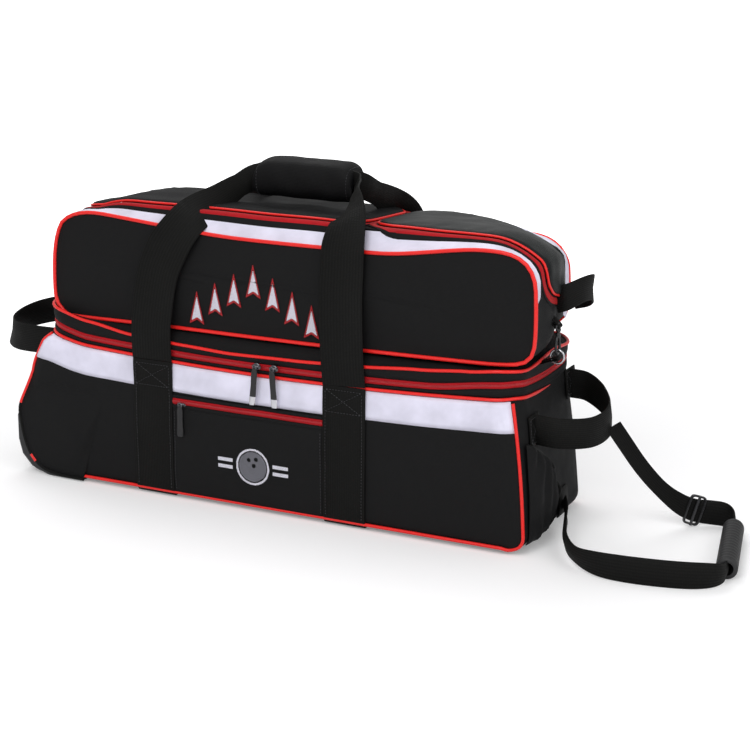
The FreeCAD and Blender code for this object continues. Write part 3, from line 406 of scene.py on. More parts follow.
def gridFaces(rows, ringed=False, looped=False, capped=False):
    # points, faces and cloth coordinates of a net of rows
    rowCount, columnCount = len(rows), len(rows[0])
    points = [Vector(p) for row in rows for p in row]
    middle = rows[rowCount // 2]
    across = [0.0]
    for j in range(columnCount):
        across.append(across[-1] + (Vector(middle[(j + 1) % columnCount]) - Vector(middle[j])).length)
    along = [0.0]
    for i in range(rowCount):
        nearRow, farRow = rows[i], rows[(i + 1) % rowCount]
        gaps = [(Vector(farRow[j]) - Vector(nearRow[j])).length
                for j in range(0, columnCount, max(1, columnCount // 8))]
        along.append(along[-1] + sum(gaps) / len(gaps))
    faces = []
    corners = []
    for i in range(rowCount if looped else rowCount - 1):
        below = i * columnCount
        above = ((i + 1) % rowCount) * columnCount
        for j in range(columnCount if ringed else columnCount - 1):
            after = (j + 1) % columnCount
            faces.append((below + j, below + after, above + after, above + j))
            corners.append(((across[j], along[i]), (across[j + 1], along[i]),
                            (across[j + 1], along[i + 1]), (across[j], along[i + 1])))
    if capped:
        for start, order in ((0, -1), ((rowCount - 1) * columnCount, 1)):
            ring = [start + j for j in range(columnCount)][::order]
            faces.append(tuple(ring))
            corners.append([(points[k].x, points[k].z) for k in ring])
    return points, faces, corners


def gridPiece(name, rows, finish, body, replaces=(), ringed=False, looped=False, capped=False, gauge=0.0,
              inside=None, flip=False, laidFlat=False):
    # a net of rows, thickened inwards by a gauge where it is a single sheet
    if flip:
        rows = [list(row)[::-1] for row in rows]
    points, faces, corners = gridFaces(rows, ringed, looped, capped)
    solid = capped or (ringed and looped)
    piece = makePiece(name, points, faces, finish, body, replaces, None
                      if laidFlat else corners, solid, inside)
    if gauge:
        thick = piece.modifiers.new("Gauge", "SOLIDIFY")
        thick.thickness = gauge * mm
        thick.offset = -1.0
        if inside:
            thick.material_offset = 1
    return piece


def sweepRows(path, section, ups=None, closed=False, shares=None):
    path = [Vector(p) for p in path]
    count = len(path)
    rows = []
    up = None
    for i, point in enumerate(path):
        ahead = path[(i + 1) % count] if closed or i < count - 1 else point
        behind = path[i - 1] if closed or i else point
        heading = (ahead - behind).normalized()
        if ups:
            up = Vector(ups[i])
        elif up is None:
            up = Vector((0, 0, 1)) if abs(heading.z) < 0.9 else Vector((0, 1, 0))
        up = (up - heading * up.dot(heading)).normalized()
        side = heading.cross(up)
        share = shares[i] if shares else 1.0
        rows.append([point + side * (a * share) + up * b for a, b in section])
    return rows


def sweepPiece(name, path, section, finish, body, replaces=(), ups=None, closed=False, shares=None):
    rows = sweepRows(path, section, ups, closed, shares)
    return gridPiece(name, rows, finish, body, replaces, ringed=True, looped=closed, capped=not closed)


def ribbonNet(path, hints, width, gauge, shares=None, curl=0.0):
    # flat webbing: hints give the direction of its width, shares how much of the width is spread out
    path = [Vector(p) for p in path]
    last = len(path) - 1
    rows = []
    for i, point in enumerate(path):
        heading = (path[min(i + 1, last)] - path[max(i - 1, 0)]).normalized()
        side = Vector(hints[i])
        side = (side - heading * side.dot(heading)).normalized()
        up = side.cross(heading)
        share = shares[i] if shares else 1.0
        spare = (1.0 - share) * width * 0.22 + curl
        row = []
        for a, b in flatSection(width, gauge):
            arch = spare * (1 - (2 * a / width) ** 2)
            row.append(point + side * (a * share) + up * (b + arch))
        rows.append(row)
    return gridFaces(rows, ringed=True, capped=True)


def ribbonPiece(name, path, hints, width, gauge, finish, body, replaces=(), shares=None, curl=0.0):
    return joinNets(name, [ribbonNet(path, hints, width, gauge, shares, curl)], finish, body, replaces)


def joinNets(name, nets, finish, body, replaces=(), closed=True):
    # several nets in one piece
    points, faces, corners = [], [], []
    for netPoints, netFaces, netCorners in nets:
        start = len(points)
        points.extend(netPoints)
        faces.extend(tuple(k + start for k in face) for face in netFaces)
        corners.extend(netCorners)
    return makePiece(name, points, faces, finish, body, replaces, corners, closed)


def stitchLine(path, outward, pitch=4.2, length=2.6, width=0.7, proud=0.35):
    # small raised stitches along a line, as one list of nets
    line = evenly(path, pitch)
    nets = []
    for i in range(len(line) - 1):
        heading = (line[i + 1] - line[i]).normalized()
        up = outward(line[i]).normalized()
        side = heading.cross(up).normalized()
        centre = line[i].lerp(line[i + 1], 0.5) + up * proud * 0.4
        ends = []
        for share, grow in ((-0.5, 0.3), (-0.25, 1.0), (0.25, 1.0), (0.5, 0.3)):
            middle = centre + heading * (length * share)
            ends.append([middle + side * (width / 2 * grow), middle + up * (proud * grow),
                         middle - side * (width / 2 * grow), middle - up * (proud * grow)])
        nets.append(gridFaces(ends, ringed=True, capped=True))
    return nets


view = {"place": (1.150, -2.184, 0.851), "target": (0.105, 0.034, 0.167), "roll": 0.57, "lens": 87.9}

camera = bpy.data.objects.new("camera", bpy.data.cameras.new("camera"))
bpy.context.scene.collection.objects.link(camera)
camera.data.lens = view["lens"]
camera.data.sensor_width = 36
camera.location = view["place"]
facing = (Vector(view["target"]) - camera.location).to_track_quat("-Z", "Y")
camera.rotation_euler = (facing.to_matrix() @ Matrix.Rotation(math.radians(view["roll"]), 3, "Z")).to_euler()
bpy.context.scene.camera = camera
bpy.context.scene.view_settings.view_transform = "Standard"

# area lamps: place and target in metres, side in metres, watts
lamps = {
    "keyLamp": ((0.3, -2.6, 2.3), (0.0, 0.0, 0.2), 1.8, 46),
    "fillLamp": ((2.6, -0.9, 1.4), (0.2, 0.0, 0.2), 1.6, 18),
    "topLamp": ((-0.9, 0.9, 2.6), (0.0, 0.0, 0.3), 1.6, 25),
}
for name, (place, target, side, watts) in lamps.items():
    lamp = bpy.data.objects.new(name, bpy.data.lights.new(name, "AREA"))
    lamp.data.size = side
    lamp.data.energy = watts
    lamp.location = place
    lamp.rotation_euler = (Vector(target) - Vector(place)).to_track_quat("-Z", "Y").to_euler()
    bpy.context.scene.collection.objects.link(lamp)

world = bpy.data.worlds.new("studio")
bpy.context.scene.world = world
world.use_nodes = True
world.node_tree.nodes.clear()
seen = addNode(world.node_tree, "LightPath")
straight = addNode(world.node_tree, "Math", {0: seen.outputs["Is Camera Ray"],
                                             1: seen.outputs["Is Transmission Ray"]}, operation="MAXIMUM")
brightness = addNode(world.node_tree, "MapRange",
                     {"Value": straight.outputs[0], "To Min": 0.5, "To Max": 1.0})
sky = addNode(world.node_tree, "Background",
              {"Color": (1, 1, 1, 1), "Strength": brightness.outputs["Result"]})
addNode(world.node_tree, "OutputWorld", {"Surface": sky.outputs["Background"]})

# pale floor: to the camera it glows a little, more so far away, so that only the bag's shadow shows on it
floorMaterial = bpy.data.materials.new("paleFloor")
floorMaterial.use_nodes = True
tree = floorMaterial.node_tree
tree.nodes.clear()
seen = addNode(tree, "LightPath")
paint = addNode(tree, "BsdfDiffuse", {"Color": linear("#F0F0F1")})
spot = addNode(tree, "TexCoord")
away = addNode(tree, "VectorMath", {0: spot.outputs["Object"]}, operation="LENGTH")
nearFar = addNode(tree, "MapRange", {"Value": away.outputs["Value"], "From Min": 0.7, "From Max": 1.6,
                                     "To Min": 0.2, "To Max": 1.0})
glow = addNode(tree, "Emission", {"Color": (1, 1, 1, 1), "Strength": nearFar.outputs["Result"]})
lit = addNode(tree, "AddShader", {0: paint.outputs[0], 1: glow.outputs[0]})
both = addNode(tree, "MixShader",
               {"Fac": seen.outputs["Is Camera Ray"], 1: paint.outputs[0], 2: lit.outputs[0]})
addNode(tree, "OutputMaterial", {"Surface": both.outputs[0]})
floorMesh = bpy.data.meshes.new("floor")
reach = 30.0
floorMesh.from_pydata([(-reach, -reach, 0), (reach, -reach, 0), (reach, reach, 0), (-reach, reach, 0)], [],
                      [(0, 1, 2, 3)])
floorMesh.materials.append(floorMaterial)
floor = bpy.data.objects.new("floor", floorMesh)
bpy.context.scene.collection.objects.link(floor)
print("camera, lamps and floor made")


tow = {"width": 36.0, "gauge": 2.0, "inTube": 0.6, "tubeRadius": 14.0, "length": 0.79}
edgeUp = tow["width"] / 2 + 0.3
tubeHeight = tow["tubeRadius"] + 0.2
towRoute = (
    (462, 6, 150), (472, 14, 132), (492, 34, 92), (514, 58, 56), (536, 80, 31), (553, 91, 22), (570, 102, 19),
    (592, 106, edgeUp), (606, 94, edgeUp - 2), (611, 74, tubeHeight), (643, -84, tubeHeight),
    (643, -106, edgeUp - 2), (626, -124, edgeUp), (596, -136, edgeUp), (541, -146, edgeUp),
    (492, -146, edgeUp),
    (458, -126, edgeUp), (432, -84, edgeUp), (416, -34, edgeUp + 3.7), (409, -8, edgeUp + 11.7),
    (398.5, 9, edgeUp + 16.7),
)


tubeStart, tubeEnd = Vector(towRoute[9]), Vector(towRoute[10])


def splineThrough(route):
    # the route's smooth line, as points in metres
    curve = bpy.data.curves.new("route", "CURVE")
    curve.dimensions = "3D"
    spline = curve.splines.new("NURBS")
    spline.points.add(len(route) - 1)
    for point, place in zip(spline.points, route):
        point.co = (*(Vector(place) * mm), 1.0)
    spline.order_u = 3
    spline.use_endpoint_u = True
    spline.resolution_u = 10
    holder = bpy.data.objects.new("route", curve)
    bpy.context.scene.collection.objects.link(holder)
    line = bpy.data.meshes.new_from_object(holder)
    points = [vertex.co.copy() for vertex in line.vertices]
    bpy.data.objects.remove(holder)
    return points


towLine = splineThrough(towRoute)


def towShare(place):
    # the strap is bunched where it passes through the tube
    run = tubeEnd - tubeStart
    share = (Vector(place) / mm - tubeStart).dot(run) / run.dot(run)
    outside = max(-share, share - 1.0, 0.0) * run.length
    return mix(tow["inTube"], 1.0, smoothStep(0, 45, outside))


towPoints = [point / mm for point in towLine]
strap = ribbonPiece("tow_strap_webbing", towPoints, [(0, 0, 1)] * len(towPoints), tow["width"], tow["gauge"],
                    "webbing", "ball_bag", ["tow_strap"], [towShare(point) for point in towLine])


def towTube():
    # ribbed rubber grip: a thick sleeve with shallow rings and rolled ends, open along its bore
    run = tubeEnd - tubeStart
    margin = 5.0
    bore = 0.62 * tow["tubeRadius"]
    profile = [(margin, bore), (margin, tow["tubeRadius"] - 2), (margin + 2, tow["tubeRadius"])]
    steps = 46
    for i in range(1, steps):
        place = mix(margin + 2, run.length - margin - 2, i / steps)
        profile.append((place, tow["tubeRadius"] - (0.9 if i % 3 == 0 else 0.0)))
    profile += [(run.length - margin - 2, tow["tubeRadius"]), (run.length - margin, tow["tubeRadius"] - 2),
                (run.length - margin, bore)]
    heading = run.normalized()
    side = heading.cross(Vector((0, 0, 1))).normalized()
    rows = []
    for place, radius in profile:
        centre = tubeStart + heading * place
        rows.append([centre + side * (radius * math.cos(2 * math.pi * k / 28))
                     + Vector((0, 0, radius * math.sin(2 * math.pi * k / 28))) for k in range(28)])
    return gridPiece("tow_grip_sleeve", rows, "tube", "ball_bag", ["tow_grip"], ringed=True, looped=True)


def frameRows(centre, across, upward, outer, inner, gauge):
    # a flat frame with rounded bars, outer and inner are its half sizes
    through = across.cross(upward).normalized()
    rows = []
    for size, depth in ((outer, -0.3), (outer, 0.3), ((outer[0] - 0.6, outer[1] - 0.6), 0.5),
                        ((inner[0] + 0.6, inner[1] + 0.6), 0.5), (inner, 0.3), (inner, -0.3),
                        ((inner[0] + 0.6, inner[1] + 0.6), -0.5), ((outer[0] - 0.6, outer[1] - 0.6), -0.5)):
        ring = []
        for k in range(24):
            angle = 2 * math.pi * k / 24
            a = math.copysign(abs(math.cos(angle)) ** 0.35, math.cos(angle)) * size[0]
            b = math.copysign(abs(math.sin(angle)) ** 0.35, math.sin(angle)) * size[1]
            ring.append(centre + across * a + upward * b + through * (depth * gauge))
        rows.append(ring)
    return rows


def towSlider():
    # moulded three-bar slider: a frame with a middle bar over the strap
    before, centre, after = (Vector(towRoute[k]) for k in (4, 5, 6))
    heading = (after - before).normalized()
    nearest = min(towPoints, key=lambda point: (point - centre).length)
    upward = (Vector((0, 0, 1)) - heading * heading.z).normalized()
    through = heading.cross(upward)
    outer = (tow["width"] / 2 + 3, 12)
    frameNet = gridFaces(frameRows(nearest, upward, heading, outer, (tow["width"] / 2 + 0.4, 9), 5), True,
                         True)
    bar = sweepRows([nearest - upward * outer[0] + through * 3, nearest + upward * outer[0] + through * 3],
                    circleSection(2.0))
    barNet = gridFaces(bar, ringed=True, capped=True)
    return joinNets("tow_slider_frame", [frameNet, barNet], "hook", "ball_bag", ["tow_slider"])


sleeve = towTube()
sliderFrame = towSlider()
print("tow strap made")


# Ball bag. Its shape is a loft: rings that follow the slanting ends, open out at the front corners and end at
# a sagging rim. Everything sewn on it is laid on the same surface.
tubLow, tubHigh = spanOf("ball_bag_body")
rimLow, rimHigh = spanOf("lid")
tub = {
    "left": tubLow.x, "right": tubHigh.x, "half": tubHigh.y, "under": tubLow.z,
    "rimLeft": rimLow.x, "rimRight": rimHigh.x, "rim": tubHigh.z, "sag": 13.0,
    "foot": 10.0, "corner": 34.0, "wall": 4.0,
    "leftBulge": 19.0, "rightBulge": 5.0, "swell": 3.2, "hem": 20.0,
}
# creases in the front cloth: ends (x, z), width and depth
frontCreases = (
    ((-320, 150), (-246, 20), 9, 1.6), ((-300, 168), (-214, 118), 7, 1.1), ((-290, 60), (-205, 25), 12, 1.2),
    ((-182, 190), (-186, 150), 6, 1.0), ((-126, 188), (-118, 150), 6, 1.0), ((112, 190), (118, 150), 7, 1.0),
    ((175, 188), (182, 140), 7, 0.9), ((200, 120), (330, 24), 16, 1.0), ((240, 30), (372, 60), 12, 1.1),
    ((-100, 125), (-60, 60), 10, 0.8), ((60, 122), (92, 60), 10, 0.8), ((-40, 30), (60, 26), 9, 0.7),
)


def segmentDistance(x, z, start, end):
    runX, runZ = end[0] - start[0], end[1] - start[1]
    share = ((x - start[0]) * runX + (z - start[1]) * runZ) / (runX * runX + runZ * runZ)
    share = min(max(share, 0.0), 1.0)
    away = math.hypot(x - start[0] - runX * share, z - start[1] - runZ * share)
    return away, math.sin(math.pi * min(max(share, 0.08), 0.92))


def creased(x, z, creases):
    depth = 0.0
    for start, end, width, amount in creases:
        away, fade = segmentDistance(x, z, start, end)
        ratio = away / width
        depth += amount * fade * (math.exp(-ratio * ratio) - 0.45 * math.exp(-(ratio - 1.7) ** 2))
    return -depth


def rimHeight(x, y=200.0):
    # the rim sags between its corners and dips over the right end
    half = (tub["rimRight"] - tub["rimLeft"]) / 2
    share = min(abs(x - (tub["rimRight"] + tub["rimLeft"]) / 2) / half, 1.0)
    lifted = 8 * smoothStep(262, 335, -x)
    dip = 8 * smoothStep(340, 372, x) * max(0.0, 1 - (y / 112) ** 2)
    return tub["rim"] - tub["sag"] * (1 - share * share) + lifted - dip


def tubEnds(share):
    # x of both ends at a share of the height, with the left end hanging out over the wheels
    z = mix(tub["under"], tub["rim"], share)
    soft = math.sin(math.pi * min(max(share * 0.86 + 0.06, 0.0), 1.0))
    left = mix(tub["left"], tub["rimLeft"], share) - tub["leftBulge"] * soft * soft
    left -= 13 * smoothStep(1.0, 0.9, share) * smoothStep(0.5, 0.8, share) + 5 * smoothStep(150, 118, z)
    right = mix(tub["right"], tub["rimRight"], share) + tub["rightBulge"] * math.sin(math.pi * share) * 0.5
    low = max(0.0, tub["hem"] - (z - tub["under"]))
    rounding = tub["hem"] - math.sqrt(max(tub["hem"] ** 2 - low ** 2, 0.0))
    return left + rounding, right - rounding


def tubSwell(side, x, z, share, left, right):
    # how far the padded front or back stands out beyond its seams
    across = min(max((x - left) / (right - left), 0.0), 1.0)
    belly = (math.sin(math.pi * across) ** 0.35) * (math.sin(math.pi * min(max(share, 0.0), 1.0)) ** 0.55)
    cloth = ripple(x, side * 300, z * 1.3, 70, 1.6) + ripple(x, side * 90, z, 26, 0.5)
    swell = belly * (tub["swell"] + cloth)
    if side < 0:
        swell += belly * creased(x, z, frontCreases)
    return max(swell, -1.5)


def tubFace(side, x, z):
    # y of the front (-1) or back (+1) surface
    share = (z - tub["under"]) / (rimHeight(x) - tub["under"])
    left, right = tubEnds(share)
    return side * (tub["half"] + tubSwell(side, x, z, share, left, right))


def cornerRadii(share):
    # front corners, back left corner, and the slack back right corner
    front = mix(tub["foot"], tub["corner"], max(share, 0.0) ** 1.6)
    return front, tub["corner"], mix(44, 78, max(share, 0.0))


def tubRing(share, inset=0.0, grow=0.0):
    # one closed ring of the loft, from the front left corner round to the right, with points in a fixed order
    left, right = tubEnds(share)
    left, right = left + inset - grow, right - inset + grow
    half = tub["half"] - inset + grow
    front, back, slack = (max(radius + grow, 3.0) for radius in cornerRadii(share))
    ring = []

    def add(x, y, swell=0.0):
        z = tub["under"] + share * (rimHeight(x, y) - tub["under"])
        ring.append(Vector((x, y + swell, z)))

    def faceSwell(side, x):
        z = tub["under"] + share * (rimHeight(x) - tub["under"])
        return side * tubSwell(side, x, z, share, left, right) if not inset else 0.0

    def endSwell(side, y):
        z = mix(tub["under"], tub["rim"], share)
        belly = math.cos(math.pi * y / (2.2 * tub["half"])) * math.sin(math.pi
                                                                       * min(max(share, 0.0), 1.0)) ** 0.6
        return side * belly * (1.5 + ripple(side * 500, y, z, 38, 3.2) + ripple(side * 500, y, z, 15, 0.8))

    for i in range(110):
        x = mix(left + front, right - front, i / 110)
        add(x, -half, faceSwell(-1, x))
    for i in range(7):
        angle = math.radians(-90 + 90 * i / 7)
        add(right - front + front * math.cos(angle), -half + front + front * math.sin(angle))
    for i in range(32):
        y = mix(-half + front, half - slack, i / 32)
        add(right + (0 if inset else endSwell(1, y)), y)
    for i in range(11):
        angle = math.radians(90 * i / 11)
        add(right - slack + slack * math.cos(angle), half - slack + slack * math.sin(angle))
    for i in range(110):
        x = mix(right - slack, left + back, i / 110)
        add(x, half, faceSwell(1, x))
    for i in range(7):
        angle = math.radians(90 + 90 * i / 7)
        add(left + back + back * math.cos(angle), half - back + back * math.sin(angle))
    for i in range(32):
        y = mix(half - back, -half + front, i / 32)
        add(left + (0 if inset else endSwell(-1, y)), y)
    for i in range(7):
        angle = math.radians(180 + 90 * i / 7)
        add(left + front + front * math.cos(angle), -half + front + front * math.sin(angle))
    return ring


def ballBagShell():
    rows = []
    flat = tubRing(0.0, inset=8.0)
    centre = sum(flat, Vector()) / len(flat)
    for k in (0.0, 0.25, 0.5, 0.75):
        rows.append([Vector((mix(centre.x, p.x, k), mix(centre.y, p.y, k), tub["under"])) for p in flat])
    height = tub["rim"] - tub["under"]
    for k in range(4):
        angle = math.radians(90 * k / 4)
        rows.append(tubRing((8 - 8 * math.cos(angle)) / height, inset=8 - 8 * math.sin(angle) + 0.001))
    count = 34
    for k in range(count + 1):
        rows.append(tubRing(mix(8 / height, 1.0, k / count)))
    shell = gridPiece("ball_bag_shell", rows, "cloth", "ball_bag", ["ball_bag_body"], ringed=True,
                      gauge=tub["wall"], inside="lining", laidFlat=True)
    # space for the two wheel housings
    housingLow, housingHigh = spanOf("front_wheel_housing")
    cutters = []
    for side in (-1, 1):
        near, far = abs(housingHigh.y) - 1, abs(housingLow.y) + 20
        spans = ((housingLow.x - 30, housingHigh.x - 0.5), sorted((side * near, side * far)),
                 (-5, housingHigh.z - 0.5))
        points = [Vector((x, y, z)) for z in spans[2] for y in spans[1] for x in spans[0]]
        mesh = bpy.data.meshes.new("cutter")
        mesh.from_pydata([p * mm for p in points], [],
                         [(0, 2, 3, 1), (4, 5, 7, 6), (0, 1, 5, 4), (2, 6, 7, 3),
                                                        (0, 4, 6, 2), (1, 3, 7, 5)])
        cutter = bpy.data.objects.new("cutter", mesh)
        bpy.context.scene.collection.objects.link(cutter)
        cutters.append(cutter)
        cut = shell.modifiers.new("WheelSpace", "BOOLEAN")
        cut.operation = "DIFFERENCE"
        cut.solver = "EXACT"
        cut.object = cutter
    bpy.context.view_layer.update()
    finished = bpy.data.meshes.new_from_object(shell.evaluated_get(bpy.context.evaluated_depsgraph_get()))
    shell.modifiers.clear()
    shell.data = finished
    for cutter in cutters:
        bpy.data.objects.remove(cutter)
    finished.polygons.foreach_set("use_smooth", [True] * len(finished.polygons))
    finished.set_sharp_from_angle(angle=math.radians(48))
    return shell


ballBagShell()
print("ball bag shell made")


def onTub(side, x, z, proud=0.0):
    return Vector((x, tubFace(side, x, z) + side * proud, z))


def tubCorner(share, end, side, proud=0.0):
    # the 45-degree line of an upright corner
    left, right = tubEnds(share)
    front, back, slack = cornerRadii(share)
    radius = front if side < 0 else slack if end > 0 else back
    x = right - radius if end > 0 else left + radius
    y = side * (tub["half"] - radius)
    reach = (radius + proud) * math.cos(math.radians(45))
    height = tub["under"] + share * (rimHeight(x + end * reach, y) - tub["under"])
    return Vector((x + end * reach, y + side * reach, height))


def mouthRing(offset, grow):
    # ring of plan points at the rim, lifted by a function of the place and pushed outwards
    ring = tubRing(1.0, grow=grow)
    return [Vector((p.x, p.y, rimHeight(p.x, p.y) + offset(p.x, p.y))) for p in ring]


def openAtHinge(ring, start=-280.0, end=290.0):
    # the part of a ring round the left end, front and right end, without the hinged back
    hinged = [i for i, p in enumerate(ring) if p.y > 0 and start < p.x < end]
    return ring[hinged[-1] + 1:] + ring[:hinged[0]]


def panelPiping(side):
    # piping of the front or back panel: down the right corner, along the base and down the left corner
    housingHigh = spanOf("front_wheel_housing")[1]
    right = [tubCorner(mix(0.97, 0.0, k / 40), 1, side, 1.0) for k in range(41)]
    base = [onTub(side, mix(right[-1].x - 8, housingHigh.x + 1, k / 60), tub["under"] + 2.5, 0.8)
            for k in range(61)]
    path = curveThrough(evenly(right + base, 9), 2)
    nets = [gridFaces(sweepRows(path, circleSection(2.3, 10)), ringed=True, capped=True)]
    topShare = 0.68
    left = [tubCorner(mix(0.97, topShare, k / 20), -1, side, 1.0) for k in range(21)]
    nets.append(gridFaces(sweepRows(left, circleSection(2.3, 10)), ringed=True, capped=True))
    name = "front" if side < 0 else "back"
    joinNets(name + "_panel_cord", nets, "piping", "ball_bag", [name + "_panel_piping"])


def stripe(side):
    # white band sewn under the rim seam
    rows = []
    lowest, highest = 1 - 46 / 200, 0.972
    for k in range(7):
        share = k / 6
        row = []
        for i in range(131):
            across = i / 130
            height = mix(lowest, highest, share)
            left, right = tubEnds(height)
            front, back, slack = cornerRadii(height)
            radii = {-1: front if side < 0 else back, 1: front if side < 0 else slack}
            x = mix(left + radii[-1] * 0.35, right - radii[1] * 0.35, across)
            wave = 5 * smoothStep(290, 350, -x) * (1 - share)
            z = tub["under"] + height * (rimHeight(x) - tub["under"]) + wave
            y = tubFace(side, x, z)
            # the band turns a little round both corners
            for end, face in ((-1, left), (1, right)):
                radius = radii[end]
                inner = face - end * radius
                if (x - inner) * end > 0:
                    turn = min((x - inner) * end / radius, 0.66)
                    y = side * (tub["half"] - radius + radius * math.sqrt(max(1 - turn * turn, 0)))
            row.append(Vector((x, y + side * (0.9 if 0 < k < 6 else 0.3), z)))
        rows.append(row)
    name = "front" if side < 0 else "back"
    gridPiece(name + "_white_stripe", rows, "white", "ball_bag", [name + "_stripe"], gauge=1.0, laidFlat=True)


def seamCord():
    # piping of the rim seam, from the left end round the front to the right end, under the cloth there
    ring = mouthRing(lambda x, y: -2.5, 1.2)
    start = next(i for i in range(len(ring)) if i > 284 and ring[i].y < 40)
    path = ring[start:] + ring[:138]
    last = len(path) - 1
    shares = [min(1.0, (last - i) / 14 + 0.15, i / 10 + 0.15) for i in range(last + 1)]
    rows = []
    for i, row in enumerate(sweepRows(path, circleSection(2.2, 10), [(0, 0, 1)] * len(path))):
        rows.append([path[i].lerp(p, shares[i]) for p in row])
    gridPiece("rim_seam_cord", rows, "piping", "ball_bag", ringed=True, capped=True)


for side in (-1, 1):
    panelPiping(side)
    stripe(side)
seamCord()
print("stripes and panel piping made")


# Zip round the mouth. Its tapes lie between two black bindings, and all of it stands further from the rim
# seam at the corners than along the sides.
def cornerLift(x):
    return 7 * smoothStep(250, 350, x) + 3 * smoothStep(250, 330, -x)


zipLevels = {"binding": 0.2, "tape": 4.2, "middle": 9.0, "top": 13.8}


def bandPiece(name, low, high, proud, finish, body, replaces=(), steps=3):
    # band that follows the mouth between two heights, a little fuller in its middle
    rows = []
    for k in range(steps + 1):
        share = k / steps
        full = proud + 0.8 * math.sin(math.pi * share)
        ring = mouthRing(lambda x, y: mix(low(x, y), high(x, y), share), full)
        rows.append(openAtHinge(ring))
    return gridPiece(name, rows, finish, body, replaces, gauge=1.6)


def level(key, lifted=1.0):
    return lambda x, y: zipLevels[key] + lifted * cornerLift(x)


bandPiece("mouth_binding_lower", level("binding", 0.0), level("tape"), 0.6, "cloth", "ball_bag")
bandPiece("mouth_tape_lower", level("tape"), level("middle"), -0.4, "zipTape", "ball_bag", ["zip_tape_lower"])
bandPiece("mouth_tape_upper", level("middle"), level("top"), -0.4, "zipTape", "lid_and_shoe_bag",
          ["zip_tape_upper"])


toothPitch = 1.7


def mouthTeeth(name, rise, body):
    # one row of coil zip teeth along an edge of a tape
    path = evenly(openAtHinge(mouthRing(lambda x, y: zipLevels["middle"] + rise + cornerLift(x), 0.5)),
                  toothPitch)
    nets = []
    for i in range(len(path) - 1):
        heading = (path[i + 1] - path[i]).normalized()
        outward = Vector((heading.y, -heading.x, 0)).normalized()
        rows = [[path[i] + heading * (toothPitch * t) + outward * (0.5 * w) + Vector((0, 0, rise * h))
                 for w, h in
                 ((-1, -1.1), (1, -1.1), (1, 1.1), (-1, 1.1))] for t in (0.1, 0.75)]
        nets.append(gridFaces(rows, ringed=True, capped=True))
    joinNets(name, nets, "zipTeeth", body)


mouthTeeth("mouth_teeth_lower", -0.7, "ball_bag")
mouthTeeth("mouth_teeth_upper", 0.7, "lid_and_shoe_bag")

hingeRows = []
for k in range(7):
    row = []
    for i in range(61):
        x = mix(-278, 288, i / 60)
        low, high = rimHeight(x) - 4, rimHeight(x) + 22
        bulge = 2.6 * math.sin(math.pi * k / 6)
        row.append(Vector((x, tub["half"] + 0.2 + bulge, mix(low, high, k / 6))))
    hingeRows.append(row)
hingeBend = ("ball_bag", "lid_and_shoe_bag", (0, tub["half"], tub["rim"] - 4),
             (0, tub["half"], tub["rim"] + 16))
gridPiece("hinge_cloth", hingeRows, "cloth", hingeBend, ["lid_hinge_strip"], gauge=1.2)
print("mouth zip made")


# Lid: a shallow soft cap. Its piped edge stands up at the corners and sinks between them.
lidTop = rimHigh.z
edgeStations = ((-340, 254), (-318, 250), (-262, 237), (-190, 226), (-110, 221), (-36, 218), (60, 220),
                (150, 224),
                (243, 231), (310, 237), (352, 242), (380, 241))


def stepped(stations, x):
    # value at x along a smooth chain of stations
    for (lowX, low), (highX, high) in zip(stations[:-1], stations[1:]):
        if x <= highX:
            return mix(low, high,
                       smoothStep(lowX, highX, x) * 0.5 + 0.5 * min(max((x - lowX) / (highX - lowX), 0), 1))
    return stations[-1][1]


def lidEdge(x, y):
    front = stepped(edgeStations, x)
    calm = mix(front, rimHeight(x) + 30, 0.75)
    wave = 3.5 * smoothStep(345, 372, x) * math.sin((y + 45) / 32) * max(0.0, 1 - (y / 118) ** 2)
    return mix(front, calm, smoothStep(-60, 110, y)) + wave


def lidShell():
    rows = []
    top = level("top")
    for share in (0.0, 0.3, 0.6, 0.85, 1.0):
        full = 0.8 + 1.2 * math.sin(math.pi * share)
        ring = mouthRing(lambda x, y: 0.0, full)
        rows.append([Vector((p.x, p.y, mix(rimHeight(p.x, p.y) + top(p.x, p.y), lidEdge(p.x, p.y), share)))
                     for p in ring])
    for grow, share in ((-2, 0.0), (-7, 0.35), (-13, 0.75), (-22, 1.0), (-40, 1.0)):
        ring = mouthRing(lambda x, y: 0.0, grow)
        rows.append([Vector((p.x, p.y,
                             mix(lidEdge(p.x, p.y), lidTop - 0.6, share) + ripple(p.x, p.y, 3, 40, 1.0)
                             * (share < 1))) for p in ring])
    last = rows[-1]
    centre = sum(last, Vector()) / len(last)
    for share in (0.4, 0.8, 1.0):
        rows.append([Vector((mix(p.x, centre.x, share), mix(p.y, centre.y, share), lidTop - 0.6))
                     for p in last])
    gridPiece("lid_cap", rows, "cloth", "lid_and_shoe_bag", ["lid"], ringed=True, gauge=2.4, inside="lining",
              laidFlat=True)
    edge = [Vector((p.x, p.y, lidEdge(p.x, p.y))) for p in mouthRing(lambda x, y: 0.0, 1.6)]
    sweepPiece("lid_edge_cord", edge, circleSection(2.2, 10), "piping", "lid_and_shoe_bag", ["lid_piping"],
               ups=[(0, 0, 1)] * len(edge), closed=True)


lidShell()
print("lid made")


